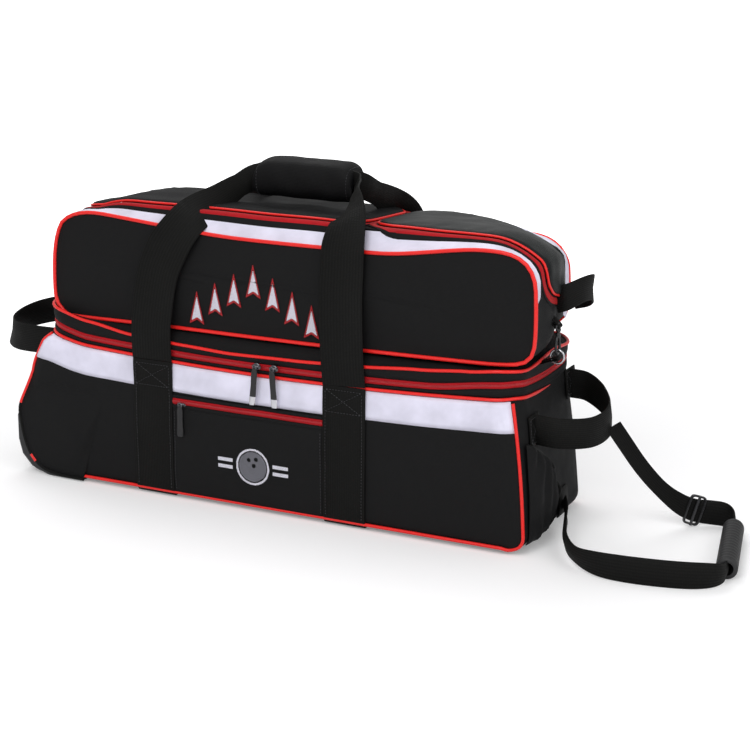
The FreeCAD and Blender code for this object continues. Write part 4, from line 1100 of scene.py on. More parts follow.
# Shoe bag. Its front panel is the outline below; the back panel is the same outline with a lower, shorter
# top. Between them the top crowns up past two white gussets and droops at both ends.
shoeLow, shoeHigh = spanOf("shoe_bag_body")
shoeHalf = shoeHigh.y
shoeTop = shoeHigh.z
gussetHalf = 98.0
backDrop = 14.0
frontOutline = (
    (-289, 239), (-150, 241), (0, 241.5), (150, 243), (300, 246), (348, 248), (376, 253), (389, 264),
    (393, 286),
    (392.5, 330), (389.5, 360), (377, 380), (354, 390), (320, 391.5), (285, 388), (214, 377), (171, 373.5),
    (107, 373.5), (20, 373), (-53, 374), (-130, 379), (-211, 385.5), (-250, 388), (-274, 386), (-295, 379),
    (-310, 365), (-320, 329), (-322, 273), (-317, 253), (-306, 243),
)
outlineLine = evenly(curveThrough([(x, 0, z) for x, z in frontOutline], 8, closed=True), 12, closed=True)


def crownHeight(x, y):
    # height of the top between the gussets
    slope = shoeTop - (y + gussetHalf) * backDrop / (2 * gussetHalf)
    back = smoothStep(-97, 60, y)
    left = mix(0.0036, 0.0017, back) * max(0.0, -200 - x) ** 2
    right = mix(0.0062 * max(0.0, x - 325) ** 2, 0.0024 * max(0.0, x - 235) ** 2, smoothStep(-60, 100, y))
    return slope - left - right + ripple(x, y, 7, 80, 1.6)


def shoeRing(y):
    # closed ring of the bag at one depth, from the outline's bottom left corner
    back = smoothStep(-112, 112, y)
    gusset = smoothStep(gussetHalf - 1, shoeHalf, abs(y))
    ring = []
    for point in outlineLine:
        x, z = point.x, point.z
        upper = smoothStep(300, 376, z)
        x -= 37 * smoothStep(-80, 112, y) * smoothStep(200, 392, x)
        x += 4 * smoothStep(-80, 112, y) * smoothStep(200, 322, -x)
        edge = mix(z, z - (backDrop + 9 * smoothStep(210, 350, x)) * upper, back)
        rise = max(crownHeight(x, y) - edge, 3.0) * (1 - gusset) * upper
        z = edge + rise
        if upper < 1:
            swell = 1 - abs(y) / shoeHalf
            face = 1 if x > 0 else -1
            side = smoothStep(300, 380, abs(x - 35))
            x += face * side * swell * (2.0 + ripple(face * 400, y, z, 34, 3.0))
        ring.append(Vector((x, y, z)))
    return ring


ringDepths = [-shoeHalf, -111.6, -110, -107, -103, -gussetHalf] + [mix(-90, 90, k / 18) for k in range(19)] \
    + [gussetHalf, 103, 107, 110, 111.6, shoeHalf]
frontFolds = (((-300, 300), (-210, 262), 20, 1.2), ((-260, 380), (-150, 330), 24, 1.2),
              ((180, 372), (260, 300), 26, 1.4), ((200, 260), (372, 300), 18, 1.0),
              ((-100, 360), (-90, 260), 10, 0.8),
              ((100, 366), (96, 262), 12, 0.9))


def panelRows(side):
    # rows that close the front or back panel, from its piped edge towards its middle
    edge = shoeRing(side * shoeHalf)
    low = min(p.z for p in edge)
    high = max(p.z for p in edge)
    rows = []
    for k in range(1, 13):
        share = k / 13
        row = []
        for p in edge:
            target = Vector((min(max(p.x, -235), 300), side * shoeHalf, (low + high) / 2))
            place = p.lerp(target, share)
            belly = 3.4 * math.sin(math.pi * min(share * 1.4, 1.0) / 2)
            cloth = ripple(place.x, side * 200, place.z, 60, 1.4) * min(share * 3, 1.0)
            fold = creased(place.x, place.z, frontFolds) * min(share * 4, 1.0) if side < 0 else 0.0
            place.y = side * (shoeHalf + belly + cloth + fold)
            row.append(place)
        rows.append(row)
    return rows


mouthSpan = (164.0, 340.0, 78.0)


def shoeShell():
    front, back = panelRows(-1), panelRows(1)
    rows = front[::-1] + [shoeRing(y) for y in ringDepths] + back
    points, faces, corners = gridFaces(rows, ringed=True)
    count = len(rows[0])
    for start, order in ((0, 1), ((len(rows) - 1) * count, -1)):
        half = count // 2
        ring = [start + k for k in range(count)]
        for k in range(half - 1):
            quad = (ring[k], ring[k + 1], ring[count - 2 - k], ring[count - 1 - k])
            faces.append(quad[::order])
            corners.append([(0, 0)] * 4)
    # the mouth under the right flap stays open
    kept = []
    for face in faces:
        middle = sum((points[k] for k in face), Vector()) / len(face)
        inMouth = mouthSpan[0] < middle.x < mouthSpan[1] and abs(middle.y) < mouthSpan[2] and middle.z > 350
        if not inMouth:
            kept.append(face)
    shell = makePiece("shoe_bag_shell", points, kept, "cloth", "lid_and_shoe_bag", ["shoe_bag_body"], None,
                      True,
                      "lining")
    thick = shell.modifiers.new("Gauge", "SOLIDIFY")
    thick.thickness = 3 * mm
    thick.offset = -1.0
    thick.material_offset = 1


shoeShell()
chains = {}


def crownChain(y):
    # the ring's upper run with lengths along it, measured from the middle of the bag
    key = round(y)
    if key not in chains:
        ring = shoeRing(key)
        start = next(i for i, p in enumerate(ring) if p.x > 250 and p.z > 285)
        run = [p for p in ring[start:] if p.z > 280][::-1]
        lengths = [0.0]
        for a, b in zip(run[:-1], run[1:]):
            lengths.append(lengths[-1] + (b - a).length)
        zero = next(lengths[i] + (0 - run[i].x) * (lengths[i + 1] - lengths[i]) / (run[i + 1].x - run[i].x)
                    for i in range(len(run) - 1) if run[i].x <= 0 < run[i + 1].x)
        chains[key] = ([value - zero for value in lengths], run)
    return chains[key]


def crownPoint(u, y):
    lengths, run = crownChain(y)
    k = 0
    while k < len(run) - 2 and lengths[k + 1] < u:
        k += 1
    share = (u - lengths[k]) / (lengths[k + 1] - lengths[k])
    return run[k].lerp(run[k + 1], share)


def onCrown(u, y, height=0.0):
    # point above the shoe bag's top: u runs along it, also down over its ends
    along = crownPoint(u + 4, y) - crownPoint(u - 4, y)
    across = crownPoint(u, y + 4) - crownPoint(u, y - 4)
    return crownPoint(u, y) + along.cross(across).normalized() * height


print("shoe bag shell made")


def backTrim(u):
    # the back gusset widens towards the right end, and the flap narrows with it
    return 50 * smoothStep(240, 370, u)


def shoeSeams():
    for side, name in ((-1, "front"), (1, "back")):
        edge = [p + Vector((0, side * 0.8, 0)) for p in shoeRing(side * shoeHalf)]
        sweepPiece(f"{name}_shoe_cord", edge, circleSection(2.6, 10), "piping", "lid_and_shoe_bag",
                   [f"{name}_shoe_piping"], ups=[(0, side, 0)] * len(edge), closed=True)
        # white gusset between the panel's piping and the top
        rows = []
        for k in range(6):
            row = []
            for i in range(121):
                u = mix(-322, 446, i / 120)
                inner = gussetHalf + 2.5 - (backTrim(u) if side > 0 else 0)
                y = side * mix(shoeHalf - 0.4, inner, k / 5)
                tuck = 2.2 * smoothStep(430, 446, u) + 2.2 * smoothStep(306, 322, -u)
                row.append(onCrown(u, y, 0.8 - tuck))
            rows.append(row)
        gridPiece(f"{name}_white_gusset", rows, "white", "lid_and_shoe_bag", [f"{name}_shoe_gusset"],
                  flip=side > 0, laidFlat=True)


shoeSeams()

# flaps: start and end along the top, half width and corner radius
flaps = {
    "left_flap": {"start": -292, "end": 136, "half": 87, "corner": 40, "finish": "cloth"},
    "right_flap": {"start": 152, "end": 436, "half": 87, "corner": 40, "finish": "satin"},
}
flapBend = ("right_flap", "lid_and_shoe_bag", (350, 0, 395), (376, 0, 395))


def flapPlan(flap, grow, step=7):
    # closed outline in (u, y), counter-clockwise seen from above
    start, end, half = flap["start"] - grow, flap["end"] + grow, flap["half"] + grow
    radius = max(flap["corner"] + grow, 4)
    line = []
    for centreX, centreY, first in ((end - radius, -half + radius, -90), (end - radius, half - radius, 0),
                                    (start + radius, half - radius, 90),
                                    (start + radius, -half + radius, 180)):
        for k in range(9):
            angle = math.radians(first + 90 * k / 8)
            x, y = centreX + radius * math.cos(angle), centreY + radius * math.sin(angle)
            line.append((x, y - backTrim(x) * max(y, 0) / half, 0))
    return evenly(line, step, closed=True)


def flapPiece(name, flap):
    body = flapBend if name == "right_flap" else "lid_and_shoe_bag"
    plan = flapPlan(flap, 0)
    rows = []
    # under side, rolled edge, then the padded top towards its middle line
    for inset, height in ((900, 2.8), (60, 2.8), (30, 2.8), (12, 2.6), (1.5, 2.6), (0, 4.0), (0.6, 6.2),
                          (3, 7.6)):
        rows.append([(p, inset, height) for p in plan])
    for inset in (7, 14, 24, 38, 54, 70, 900):
        rows.append([(p, inset, 7.6 + 1.6 * math.sin(math.pi / 2 * min(inset / 50, 1.0))) for p in plan])
    net = []
    for row in rows:
        ring = []
        for p, inset, height in row:
            # shrink the plan towards its middle line
            low, high = flap["start"] + flap["half"], flap["end"] - flap["half"]
            axis = Vector((min(max(p.x, low), high), 0, 0))
            reach = (p - axis).length
            place = axis + (p - axis) * max(1 - inset / max(reach, 1), 0.0)
            pucker = ripple(p.x, p.y, 9, 13, 1.3) * smoothStep(1, 8, inset) * (1 - smoothStep(20, 40, inset))
            cloth = ripple(place.x, place.y, 21, 55, 2.4) * smoothStep(6, 30, inset)
            ring.append(onCrown(place.x, place.y, height + pucker + cloth))
        net.append(ring)
    piece = gridPiece(f"{name}_pad", net, flap["finish"], body, [name], ringed=True, laidFlat=True)
    # piped edge, on a zip band with a binding
    edge = [onCrown(p.x, p.y, 4.2) for p in flapPlan(flap, 1.2, 5)]
    sweepPiece(f"{name}_cord", edge, circleSection(1.7, 10), "piping", body, [f"{name}_piping"],
               ups=[(0, 0, 1)] * len(edge), closed=True)
    profiles = {
        ("zip_band", "zipTape"): ((-13.6, 0.6), (-13.2, 2.1), (-11, 2.6), (-8.5, 2.6), (-4.6, 1.9),
                                  (-4.2, 0.6)),
        ("zip_binding", "cloth"): ((-16.5, 0.1), (-16, 1.3), (-14.5, 1.5), (-13, 1.6), (-11, 1.6), (-9, 1.5),
                                   (-3, 1.6),
                                    (1, 1.9), (2, 0.6)),
    }
    for (part, finish), profile in profiles.items():
        bands = [[onCrown(p.x, p.y, height) for p in flapPlan(flap, -inset, 5)] for inset, height in profile]
        count = min(len(row) for row in bands)
        bands = [resampled(row, count) for row in bands]
        node = [f"{name}_zip"] if finish == "zipTape" else []
        gridPiece(f"{name}_{part}", bands, finish, "lid_and_shoe_bag", node, ringed=True)


def resampled(row, count):
    total = sum((b - a).length for a, b in zip(row, row[1:] + row[:1]))
    line = evenly(row, total / count, closed=True)
    while len(line) < count:
        line.append(line[-1])
    return line[:count]


for name, flap in flaps.items():
    flapPiece(name, flap)
print("flaps made")


# Carry straps: sewn on both faces below the rim, then loose legs that meet in the padded grip.
carryStrap = {"width": 62.0, "gauge": 2.4, "centres": (-155.0, 137.0), "hinge": 196.5}


def sewnStraps(side):
    name = "front" if side < 0 else "back"
    nets = []
    seams = []
    top = carryStrap["hinge"] if side < 0 else 204.0
    for centre in carryStrap["centres"]:
        rows = []
        for k in range(41):
            z = mix(-14, top - 1, k / 40)
            row = []
            for a, b in flatSection(carryStrap["width"], carryStrap["gauge"]):
                x = centre + a
                proud = b + 2.2 + 2.0 * smoothStep(140, 190, z)
                if z < 8:
                    # turned in under the base
                    row.append(Vector((x, onTub(side, x, 10).y - side * (8 - z) * 0.9, 4.2 - b)))
                else:
                    row.append(onTub(side, x, z, proud))
            rows.append(row)
        nets.append(gridFaces(rows, ringed=True, capped=True))
        for edge in (-26.5, 26.5):
            path = [onTub(side, centre + edge, z, 3.6 + 2.0 * smoothStep(140, 190, z))
                    for z in range(14, 190, 6)]
            seams += stitchLine(path, lambda p: Vector((0, side, 0)))
        box = [onTub(side, centre + x, z, 5.7) for x, z in ((-26, 160), (26, 190), (26, 160), (-26, 190))]
        for start, end in ((0, 1), (2, 3), (0, 2), (3, 1)):
            seams += stitchLine([box[start], box[end]], lambda p: Vector((0, side, 0)))
    joinNets(f"{name}_strap_webbing", nets, "webbing", "ball_bag", [f"{name}_sewn_straps"])
    joinNets(f"{name}_strap_stitches", seams, "blackThread", "ball_bag")


gripLow, gripHigh = (corner + Vector((9, 0, -5)) for corner in spanOf("handle_grip"))
legs = {
    (-1, "left"): ((-129, 196.5), (-130.5, 215), (-131, 250), (-125.5, 310), (-123.5, 342), (-121, 370),
                   (-106, 397), (-74, 412), (-38, 430)),
    (-1, "right"): ((-129, 196.5), (-130.5, 215), (-131, 250), (-125.5, 310), (-122.5, 350), (-121, 382),
                    (-104, 413), (-72, 430), (-38, 438)),
    (1, "left"): ((129, 205), (130, 225), (129, 250), (124, 310), (122, 346), (117, 376), (99, 402),
                  (60, 420),
                  (22, 432)),
    (1, "right"): ((129, 205), (130, 225), (129, 250), (124, 310), (122, 336), (118, 362), (103, 386),
                   (68, 405),
                   (24, 424)),
}
legSides = {
    (-1, "left"): (-155, -155, -154, -147, -136, -120, -101, -83, -67),
    (-1, "right"): (137, 136, 134, 130, 130, 131, 130, 122, 114),
    (1, "left"): (-155, -155, -154, -147, -136, -118, -98, -80, -66),
    (1, "right"): (137, 136, 134, 128, 122, 117, 113, 112, 110),
}
legShares = (1.0, 1.0, 1.0, 1.0, 1.0, 0.98, 0.9, 0.7, 0.52)
legTurns = (0.0, 0.0, 0.0, 0.0, 0.0, 0.05, 0.3, 0.7, 0.9)


def carryHandle(side, inGrip):
    # one loop: up the left leg, through the grip and down the right leg
    stations = []
    for end in ("left", "right"):
        leg = []
        for (y, z), x, share, turn in zip(legs[side, end], legSides[side, end], legShares, legTurns):
            across = 1 - turn if end == "left" else turn - 1
            leg.append(((x, y, z), (across, 0, -turn), share))
        stations.append(leg)
    middle = (gripLow.z + gripHigh.z) / 2
    run = [((x, inGrip, middle), (0, 0, -1), 0.58) for x in (gripLow.x + 6, 17, gripHigh.x - 6)]
    stations = stations[0] + run + stations[1][::-1]
    spans = 6
    path = curveThrough([station[0] for station in stations], spans)
    hints, shares = [], []
    for i in range(len(path)):
        k = min(i // spans, len(stations) - 2)
        t = i / spans - k
        hints.append(Vector(stations[k][1]).lerp(Vector(stations[k + 1][1]), t))
        shares.append(mix(stations[k][2], stations[k + 1][2], t))
    name = "front_handle" if side < 0 else "back_handle"
    node = "front_carry_handle" if side < 0 else "back_carry_handle"
    ribbonPiece(name + "_webbing", path, hints, carryStrap["width"], carryStrap["gauge"], "webbing", name,
                [node], shares)


for side in (-1, 1):
    sewnStraps(side)
carryHandle(-1, -19.4)
carryHandle(1, -15.8)


def gripPad():
    # folded pad closed over both straps, open along the back and rounded at its upper corners
    thick = 5.2
    outer = [(gripHigh.y, gripLow.z + 1), (-10, gripLow.z - 1.5), (-26, gripLow.z + 1), (-35, gripLow.z + 9),
             (-38, gripLow.z + 22), (-36.5, gripHigh.z - 12), (-29, gripHigh.z - 2), (-12, gripHigh.z + 1.5),
             (gripHigh.y, gripHigh.z - 0.5)]
    outer = evenly(curveThrough([(0, y, z) for y, z in outer], 5), 4)
    middle = (gripLow.z + gripHigh.z) / 2
    centre = Vector((0, -8, middle))
    count = 61
    rows = []
    for i in range(count):
        share = i / (count - 1)
        x = mix(gripLow.x, gripHigh.x, share)
        fromEnd = min(x - gripLow.x, gripHigh.x - x)
        cut = 25 - math.sqrt(max(25 ** 2 - max(25 - fromEnd, 0) ** 2, 0))
        soft = thick * (0.45 + 0.55 * smoothStep(0, 7, fromEnd))
        outside, inside = [], []
        for p in outer:
            rise = (p.z - gripLow.z) / (gripHigh.z - gripLow.z)
            z = p.z - cut * rise * 0.8 + 1.5 * math.sin(math.pi * share) * rise
            dent = ripple(x, p.y, p.z, 26, 1.2)
            away = (Vector((0, p.y, z)) - centre).normalized()
            outside.append(Vector((x, p.y, z)) + away * (dent - (thick - soft)))
            inside.append(Vector((x, p.y, z)) - away * thick)
        rows.append(outside + inside[::-1])
    piece = gridPiece("grip_pad", rows, "grip", "front_handle", ["handle_grip"], ringed=True, capped=True,
                      laidFlat=True)
    seams = []
    for i in (3, count - 4):
        path = [rows[i][k] for k in range(1, len(outer) - 1)]
        seams += stitchLine(path, lambda p: Vector((0, p.y - centre.y, p.z - centre.z)))
    joinNets("grip_stitches", seams, "blackThread", "front_handle")


gripPad()
print("carry straps and grip made")

# grab handles at the ends: stations with the lean of the bag's end, as in the CAD loops
grabs = {
    "left_end_handle": (40, 0.21, "ball_bag", (
        (-335.5, 68, 192), (-366, 70, 196), (-420, 60, 199), (-452, 32, 195), (-463, -6, 189),
        (-452, -42, 185),
        (-420, -68, 184), (-366, -76, 186), (-336.5, -75, 187))),
    "right_end_handle": (40, -0.084, "ball_bag", (
        (377.5, 64, 184), (404, 66, 181), (434, 48, 169), (455, 8, 158), (448, -38, 153), (416, -70, 155),
        (380, -76, 158))),
    "shoe_bag_handle": (34, 0.0, "lid_and_shoe_bag", (
        (387.2, -30, 318), (404, -29, 324), (418, -8, 331), (421, 18, 329), (413, 42, 319), (398, 58, 309),
        (380, 62, 303))),
}
for name, (width, slant, body, places) in grabs.items():
    path = curveThrough(places, 7)
    if name == "left_end_handle":
        path = [Vector((-345, 72, 190))] + path[3:-3] + [Vector((-345, -78, 184))]
    hints = [(slant, 0, 1)] * len(path)
    ribbonPiece(name + "_webbing", path, hints, width, 2.6, "webbing", body, [name], curl=1.6)


def endPatch(name, x, span, heights, body, proud=1.5):
    # square of webbing with a crossed box of stitches, sewn flat on an end
    rows = [[Vector((x(y, z) + proud, y, z)) for y in (mix(span[0], span[1], i / 6) for i in range(7))]
            for z in (mix(heights[0], heights[1], k / 6) for k in range(7))]
    gridPiece(name, rows, "webbing", body, gauge=-1.6)
    corners = [Vector((x(y, z) + proud + 1.9, y, z)) for y in (span[0] + 4, span[1] - 4)
               for z in (heights[0] + 4, heights[1] - 4)]
    seams = []
    for start, end in ((0, 1), (1, 3), (3, 2), (2, 0), (0, 3), (1, 2)):
        seams += stitchLine([corners[start], corners[end]], lambda p: Vector((1, 0, 0)))
    joinNets(name + "_stitches", seams, "blackThread", body)


def rightEnd(y, z):
    share = (z - tub["under"]) / (rimHeight(375, y) - tub["under"])
    ring = tubRing(share)[117:149]
    nearest = min(ring, key=lambda p: abs(p.y - y))
    return nearest.x


endPatch("end_patch_front", rightEnd, (-96, -60), (138, 178), "ball_bag")
endPatch("end_patch_back", rightEnd, (48, 84), (166, 204), "ball_bag")


def endPocket():
    # gathered pocket low on the right end; its elastic mouth rises, turns back and ends at the front corner
    mouth = ((12, -48), (31, -26), (57, -9), (84, -22), (108, -41), (130, -76), (148, -108))
    rows = []
    for k in range(35):
        z = mix(13, 147, k / 34)
        reach = stepped(mouth, z)
        row = []
        for i in range(47):
            share = i / 46
            y = mix(-112, reach, share)
            stand = 12 * math.sin(math.pi * min(share * 0.9 + 0.04,
                                                1)) ** 0.7 * math.sin(math.pi * (k + 2) / 40) ** 0.5
            pleats = 2.6 * math.sin(y / 4.6 + 3 * math.sin(z / 37)) * smoothStep(0.1, 0.5, share)
            row.append(Vector((rightEnd(y, z) + 1.5 + stand + pleats * min(1, stand / 5), y, z)))
        rows.append(row)
    gridPiece("end_pocket_cloth", rows, "cloth", "ball_bag", ["end_pocket"], gauge=1.4, laidFlat=True)
    edge = curveThrough([row[-1] for row in rows[::3]], 3)
    sweepPiece("end_pocket_elastic", edge, circleSection(2.6, 8), "webbing", "ball_bag")


endPocket()
print("end handles and pocket made")


# Front pocket between the straps, with its zip under the white band.
pocketLow, pocketHigh = spanOf("front_pocket")
pocketZipLow, pocketZipHigh = spanOf("front_pocket_zip")
pocketFolds = (((-60, 128), (-70, 70), 7, 0.8), ((20, 128), (4, 90), 8, 0.8), ((80, 126), (60, 40), 9, 1.0),
               ((-110, 60), (-40, 26), 10, 0.8))


def pocketFace(x, z, proud=0.0):
    across = min(max((x - pocketLow.x) / (pocketHigh.x - pocketLow.x), 0.0), 1.0)
    upward = min(max((z - pocketLow.z) / (pocketHigh.z - pocketLow.z), 0.0), 1.0)
    belly = math.sin(math.pi * across) ** 0.4 * math.sin(math.pi * upward) ** 0.4
    cloth = ripple(x, 40, z, 46, 1.6) + ripple(x * 0.5, 70, z * 3, 15, 0.5) + creased(x, z, pocketFolds)
    return onTub(-1, x, z, 2.2 + proud + belly * (2.4 + cloth))


def frontPocket():
    rows = [[pocketFace(mix(pocketLow.x, pocketHigh.x, i / 60), mix(9.5, pocketHigh.z, k / 34))
             for i in range(61)]
            for k in range(35)]
    gridPiece("front_pocket_cloth", rows, "cloth", "ball_bag", ["front_pocket"], gauge=1.6, laidFlat=True)
    middle = (pocketZipLow.z + pocketZipHigh.z) / 2 + 3.5
    for name, low, high, finish, proud in (
        ("hem", pocketHigh.z - 1, middle - 4.6, "cloth", 2.2),
        ("tape_lower", middle - 4.6, middle, "zipTape", 1.6),
        ("tape_upper", middle, middle + 4.6, "zipTape", 1.6),
        ("binding", middle + 4.6, middle + 9, "cloth", 2.6),
    ):
        band = [[onTub(-1, mix(pocketLow.x, pocketHigh.x, i / 60), mix(low, high, k / 2),
                       proud + 0.7 * (k == 1))
                 for i in range(61)] for k in range(3)]
        node = ["front_pocket_zip"] if name == "tape_lower" else []
        gridPiece(f"pocket_{name}", band, finish, "ball_bag", node, gauge=1.2)
    nets = []
    for row in (-1, 1):
        for i in range(int((pocketHigh.x - pocketLow.x) / toothPitch)):
            x = pocketLow.x + toothPitch * i
            tooth = [[onTub(-1, x + t, middle + row * 0.7 + h, 2.4 + w) for w, h in
                      ((-0.6, -0.7), (0.6, -0.7), (0.6, 0.7), (-0.6, 0.7))] for t in (0.2, 1.3)]
            nets.append(gridFaces(tooth, ringed=True, capped=True))
    joinNets("pocket_teeth", nets, "zipTeeth", "ball_bag")
    seams = []
    for x in (pocketLow.x + 3, pocketHigh.x - 3):
        seams += stitchLine([pocketFace(x, z, 0.2) for z in range(14, 130, 6)], lambda p: Vector((0, -1, 0)))
    joinNets("pocket_stitches", seams, "blackThread", "ball_bag")


frontPocket()

# cloth cheek of the front and back panel over each wheel corner, with two short ends of piping
cheekCurve = ((-380.5, 98), (-379, 76), (-373.5, 49), (-363, 27), (-344, 11), (-312, 5), (-276, 4))


def wheelCheek(side):
    name = "front" if side < 0 else "back"
    top = tubCorner(0.68, -1, side, 1.0)
    lead = ((top.x, top.z), (mix(top.x, -380, 0.5), mix(top.z, 98, 0.45)))
    outer = evenly(curveThrough([(x, 0, z) for x, z in lead + cheekCurve], 8), 6)
    count = len(outer) - 1
    edge = [mix(abs(top.y), tub["half"] + 3.2, smoothStep(top.z, 96, p.z)) for p in outer]
    anchor = Vector((-236, 0, 131))
    rows = []
    for k in range(13):
        share = k / 12
        row = []
        for i, p in enumerate(outer):
            place = anchor.lerp(p, share)
            flat = onTub(side, place.x, max(place.z, 12)).y * side
            sewn = smoothStep(0, 5, min(i, count - i))
            lifted = mix(-1.4, 2.2, smoothStep(0.0, 0.45, share) * sewn)
            belly = 1.5 * math.sin(math.pi * share) * smoothStep(0.1, 0.5, share) * sewn
            depth = mix(flat + lifted + belly, edge[i], smoothStep(0.7, 1.0, share))
            row.append(Vector((place.x, side * depth, place.z)))
        rows.append(row)
    gridPiece(f"{name}_cheek", rows, "cloth", "ball_bag", gauge=1.2, laidFlat=True, flip=side > 0)
    rim = [Vector((p.x, side * (edge[i] + 0.2), p.z)) for i, p in enumerate(outer)]
    lower = [p for p in rim if p.z < 112]
    sweepPiece(f"{name}_cheek_binding", lower, circleSection(2.4, 8), "webbing", "ball_bag")
    upper = [p for p in rim if p.z > 103]
    middle = [p for p in rim if 17 < p.z < 32]
    nets = [gridFaces(sweepRows(run, circleSection(2.5, 8)), ringed=True, capped=True)
            for run in (upper, middle)]
    joinNets(f"{name}_cheek_cord", nets, "piping", "ball_bag")


for side in (-1, 1):
    wheelCheek(side)
print("pocket and wheel cheeks made")


# Zip sliders: body, bridge and a rubber pull whose end is bright.
def zipSlider(node, body):
    low, high = spanOf(node)
    centre = (low + high) / 2
    back = high.y
    rows = []
    for y, grow in ((back, -0.8), (back - 0.8, 0), (back - 2.6, 0), (back - 3.4, -1.0)):
        rows.append([Vector((centre.x + (6.2 + grow) * math.cos(a) * (1.0 - 0.18 * math.sin(a)), y,
                             centre.z + (4.6 + grow) * math.sin(a))) for a in
                     (2 * math.pi * k / 20 for k in range(20))])
    nets = [gridFaces(rows, ringed=True, capped=True)]
    bridge = curveThrough([(centre.x - 5, back - 2.8, centre.z + 1),
                           (centre.x - 3.4, low.y + 0.6, centre.z + 1),
                           (centre.x + 3.4, low.y + 0.6, centre.z + 1),
                           (centre.x + 5, back - 2.8, centre.z + 1)], 5)
    nets.append(gridFaces(sweepRows(bridge, circleSection(1.3, 8)), ringed=True, capped=True))
    joinNets(node + "_casting", nets, "slider", body, [node])


def zipPull(node, body, splay):
    low, high = spanOf(node)
    x, face = (low.x + high.x) / 2, (low.y + high.y) / 2
    length = high.z - low.z
    half = (high.x - low.x) / 2
    ring = [Vector((x + 2.6 * math.cos(a), face, high.z - 2.2 + 3.2 * math.sin(a)))
            for a in (2 * math.pi * k / 18 for k in range(18))]
    sweepPiece(node + "_link", ring, circleSection(0.8, 6), "slider", body, closed=True, ups=[(0, 1, 0)] * 18)
    shape = ((3, 0.45), (6, 0.8), (10, 0.98), (length * 0.5, 0.92), (length - 10, 1.0), (length - 2, 0.96),
             (length, 0.7))

    def outline(first, last):
        rows = []
        for drop, wide in shape:
            if not first <= drop <= last:
                continue
            centre = Vector((x + splay * (drop / length) ** 1.3, face, high.z - drop))
            rows.append([centre + Vector((a * wide, b, 0)) for a, b in flatSection(half * 2, 2.6, 0.3)])
        return rows

    gridPiece(node + "_tab", outline(0, length - 9), "pull", body, [node], ringed=True, capped=True)
    tip = [[Vector((x + splay * (drop / length) ** 1.3 + a * wide, face + b, high.z - drop))
            for a, b in flatSection(half * 2 + 0.6, 3.2, 0.3)]
           for drop, wide in ((length - 11.5, 0.9), (length - 11, 1.0), (length - 3, 1.0), (length, 0.8))]
    gridPiece(node + "_tip", tip, "pullEnd"
              if node != "pocket_pull" else "pull", body, ringed=True, capped=True)


for name in ("lid_slider_left", "lid_slider_right", "pocket_slider"):
    zipSlider(name, name)
zipPull("lid_pull_left", "lid_pull_left", -4)
zipPull("lid_pull_right", "lid_pull_right", 4)
zipPull("pocket_pull", "pocket_pull", 0)


def clips():
    # at each end: a tab on the shoe bag, a snap hook with its gate, and a tab on the lid that holds a ring
    hookNets, tabNets, ringTabNets = [], [], []
    ringLow, ringHigh = spanOf("clip_rings")
    for end, x, low, shoeX in ((1, 397.0, 250.0, shoeHigh.x - 2), (-1, -330.0, 257.0, shoeLow.x + 2)):
        centreY = -40.0
        loop = curveThrough([(x, centreY + y, low + z) for y, z in
                             ((0, 26), (-6, 22), (-7, 12), (-4, 3), (1, 1.5), (6, 5), (7, 11), (6, 15))], 6)
        hookNets.append(gridFaces(sweepRows(loop, circleSection(2.0, 8)), ringed=True, capped=True))
        gate = [(x, centreY + 6.4, low + 14.5), (x, centreY + 5.6, low + 19), (x, centreY + 2.5, low + 24)]
        hookNets.append(gridFaces(sweepRows(gate, circleSection(1.5, 8)), ringed=True, capped=True))
        barrel = [[Vector((x + r * math.cos(a), centreY + r * math.sin(a), low + z)) for a in
                   (2 * math.pi * k / 14 for k in range(14))] for r, z in
                  ((2.6, 23), (3.4, 24), (3.4, 27), (2.4, 28), (2.4, 30), (3.6, 31), (3.6, 34), (2.0, 35))]
        hookNets.append(gridFaces(barrel, ringed=True, capped=True))
        eye = [Vector((x, centreY + 8 * math.cos(a), low + 37 + 3.6 * math.sin(a))) for a in
               (2 * math.pi * k / 20 for k in range(20))]
        hookNets.append(gridFaces(sweepRows(eye, circleSection(1.5, 8), [(1, 0, 0)] * 20, closed=True), True,
                                  True))
        tab = curveThrough([(shoeX, centreY, low + 58), (shoeX + end * 3, centreY, low + 50),
                            (x + end * 1.0, centreY, low + 40), (x + end * 2.4, centreY, low + 36.5),
                            (x - end * 1.5, centreY, low + 35.6), (shoeX + end * 2, centreY, low + 46),
                            (shoeX, centreY, low + 56)], 5)
        tabNets.append(ribbonNet(tab, [(0, 1, 0)] * len(tab), 14, 1.6))
        ringZ = low + 6.2 - (ringHigh.y - ringLow.y) / 2
        bed = (368.0, 236.0) if end > 0 else (-316.0, 243.0)
        under = curveThrough([(bed[0], centreY, bed[1]), (x - end * 8, centreY, ringZ - 10.5),
                              (x + end * 1, centreY, ringZ - 8.4), (x + end * 2.2, centreY, ringZ - 11),
                              (x - end * 8, centreY, ringZ - 13.5), (bed[0], centreY, bed[1] - 3)], 5)
        ringTabNets.append(ribbonNet(under, [(0, 1, 0)] * len(under), 14, 1.6))
    joinNets("clip_hooks", hookNets, "hook", "lid_and_shoe_bag", ["snap_hooks"])
    joinNets("clip_hook_tabs", tabNets, "webbing", "lid_and_shoe_bag", ["hook_tabs"])
    joinNets("clip_ring_tabs", ringTabNets, "webbing", "lid_and_shoe_bag", ["ring_tabs"])


clips()
print("sliders and clips made")


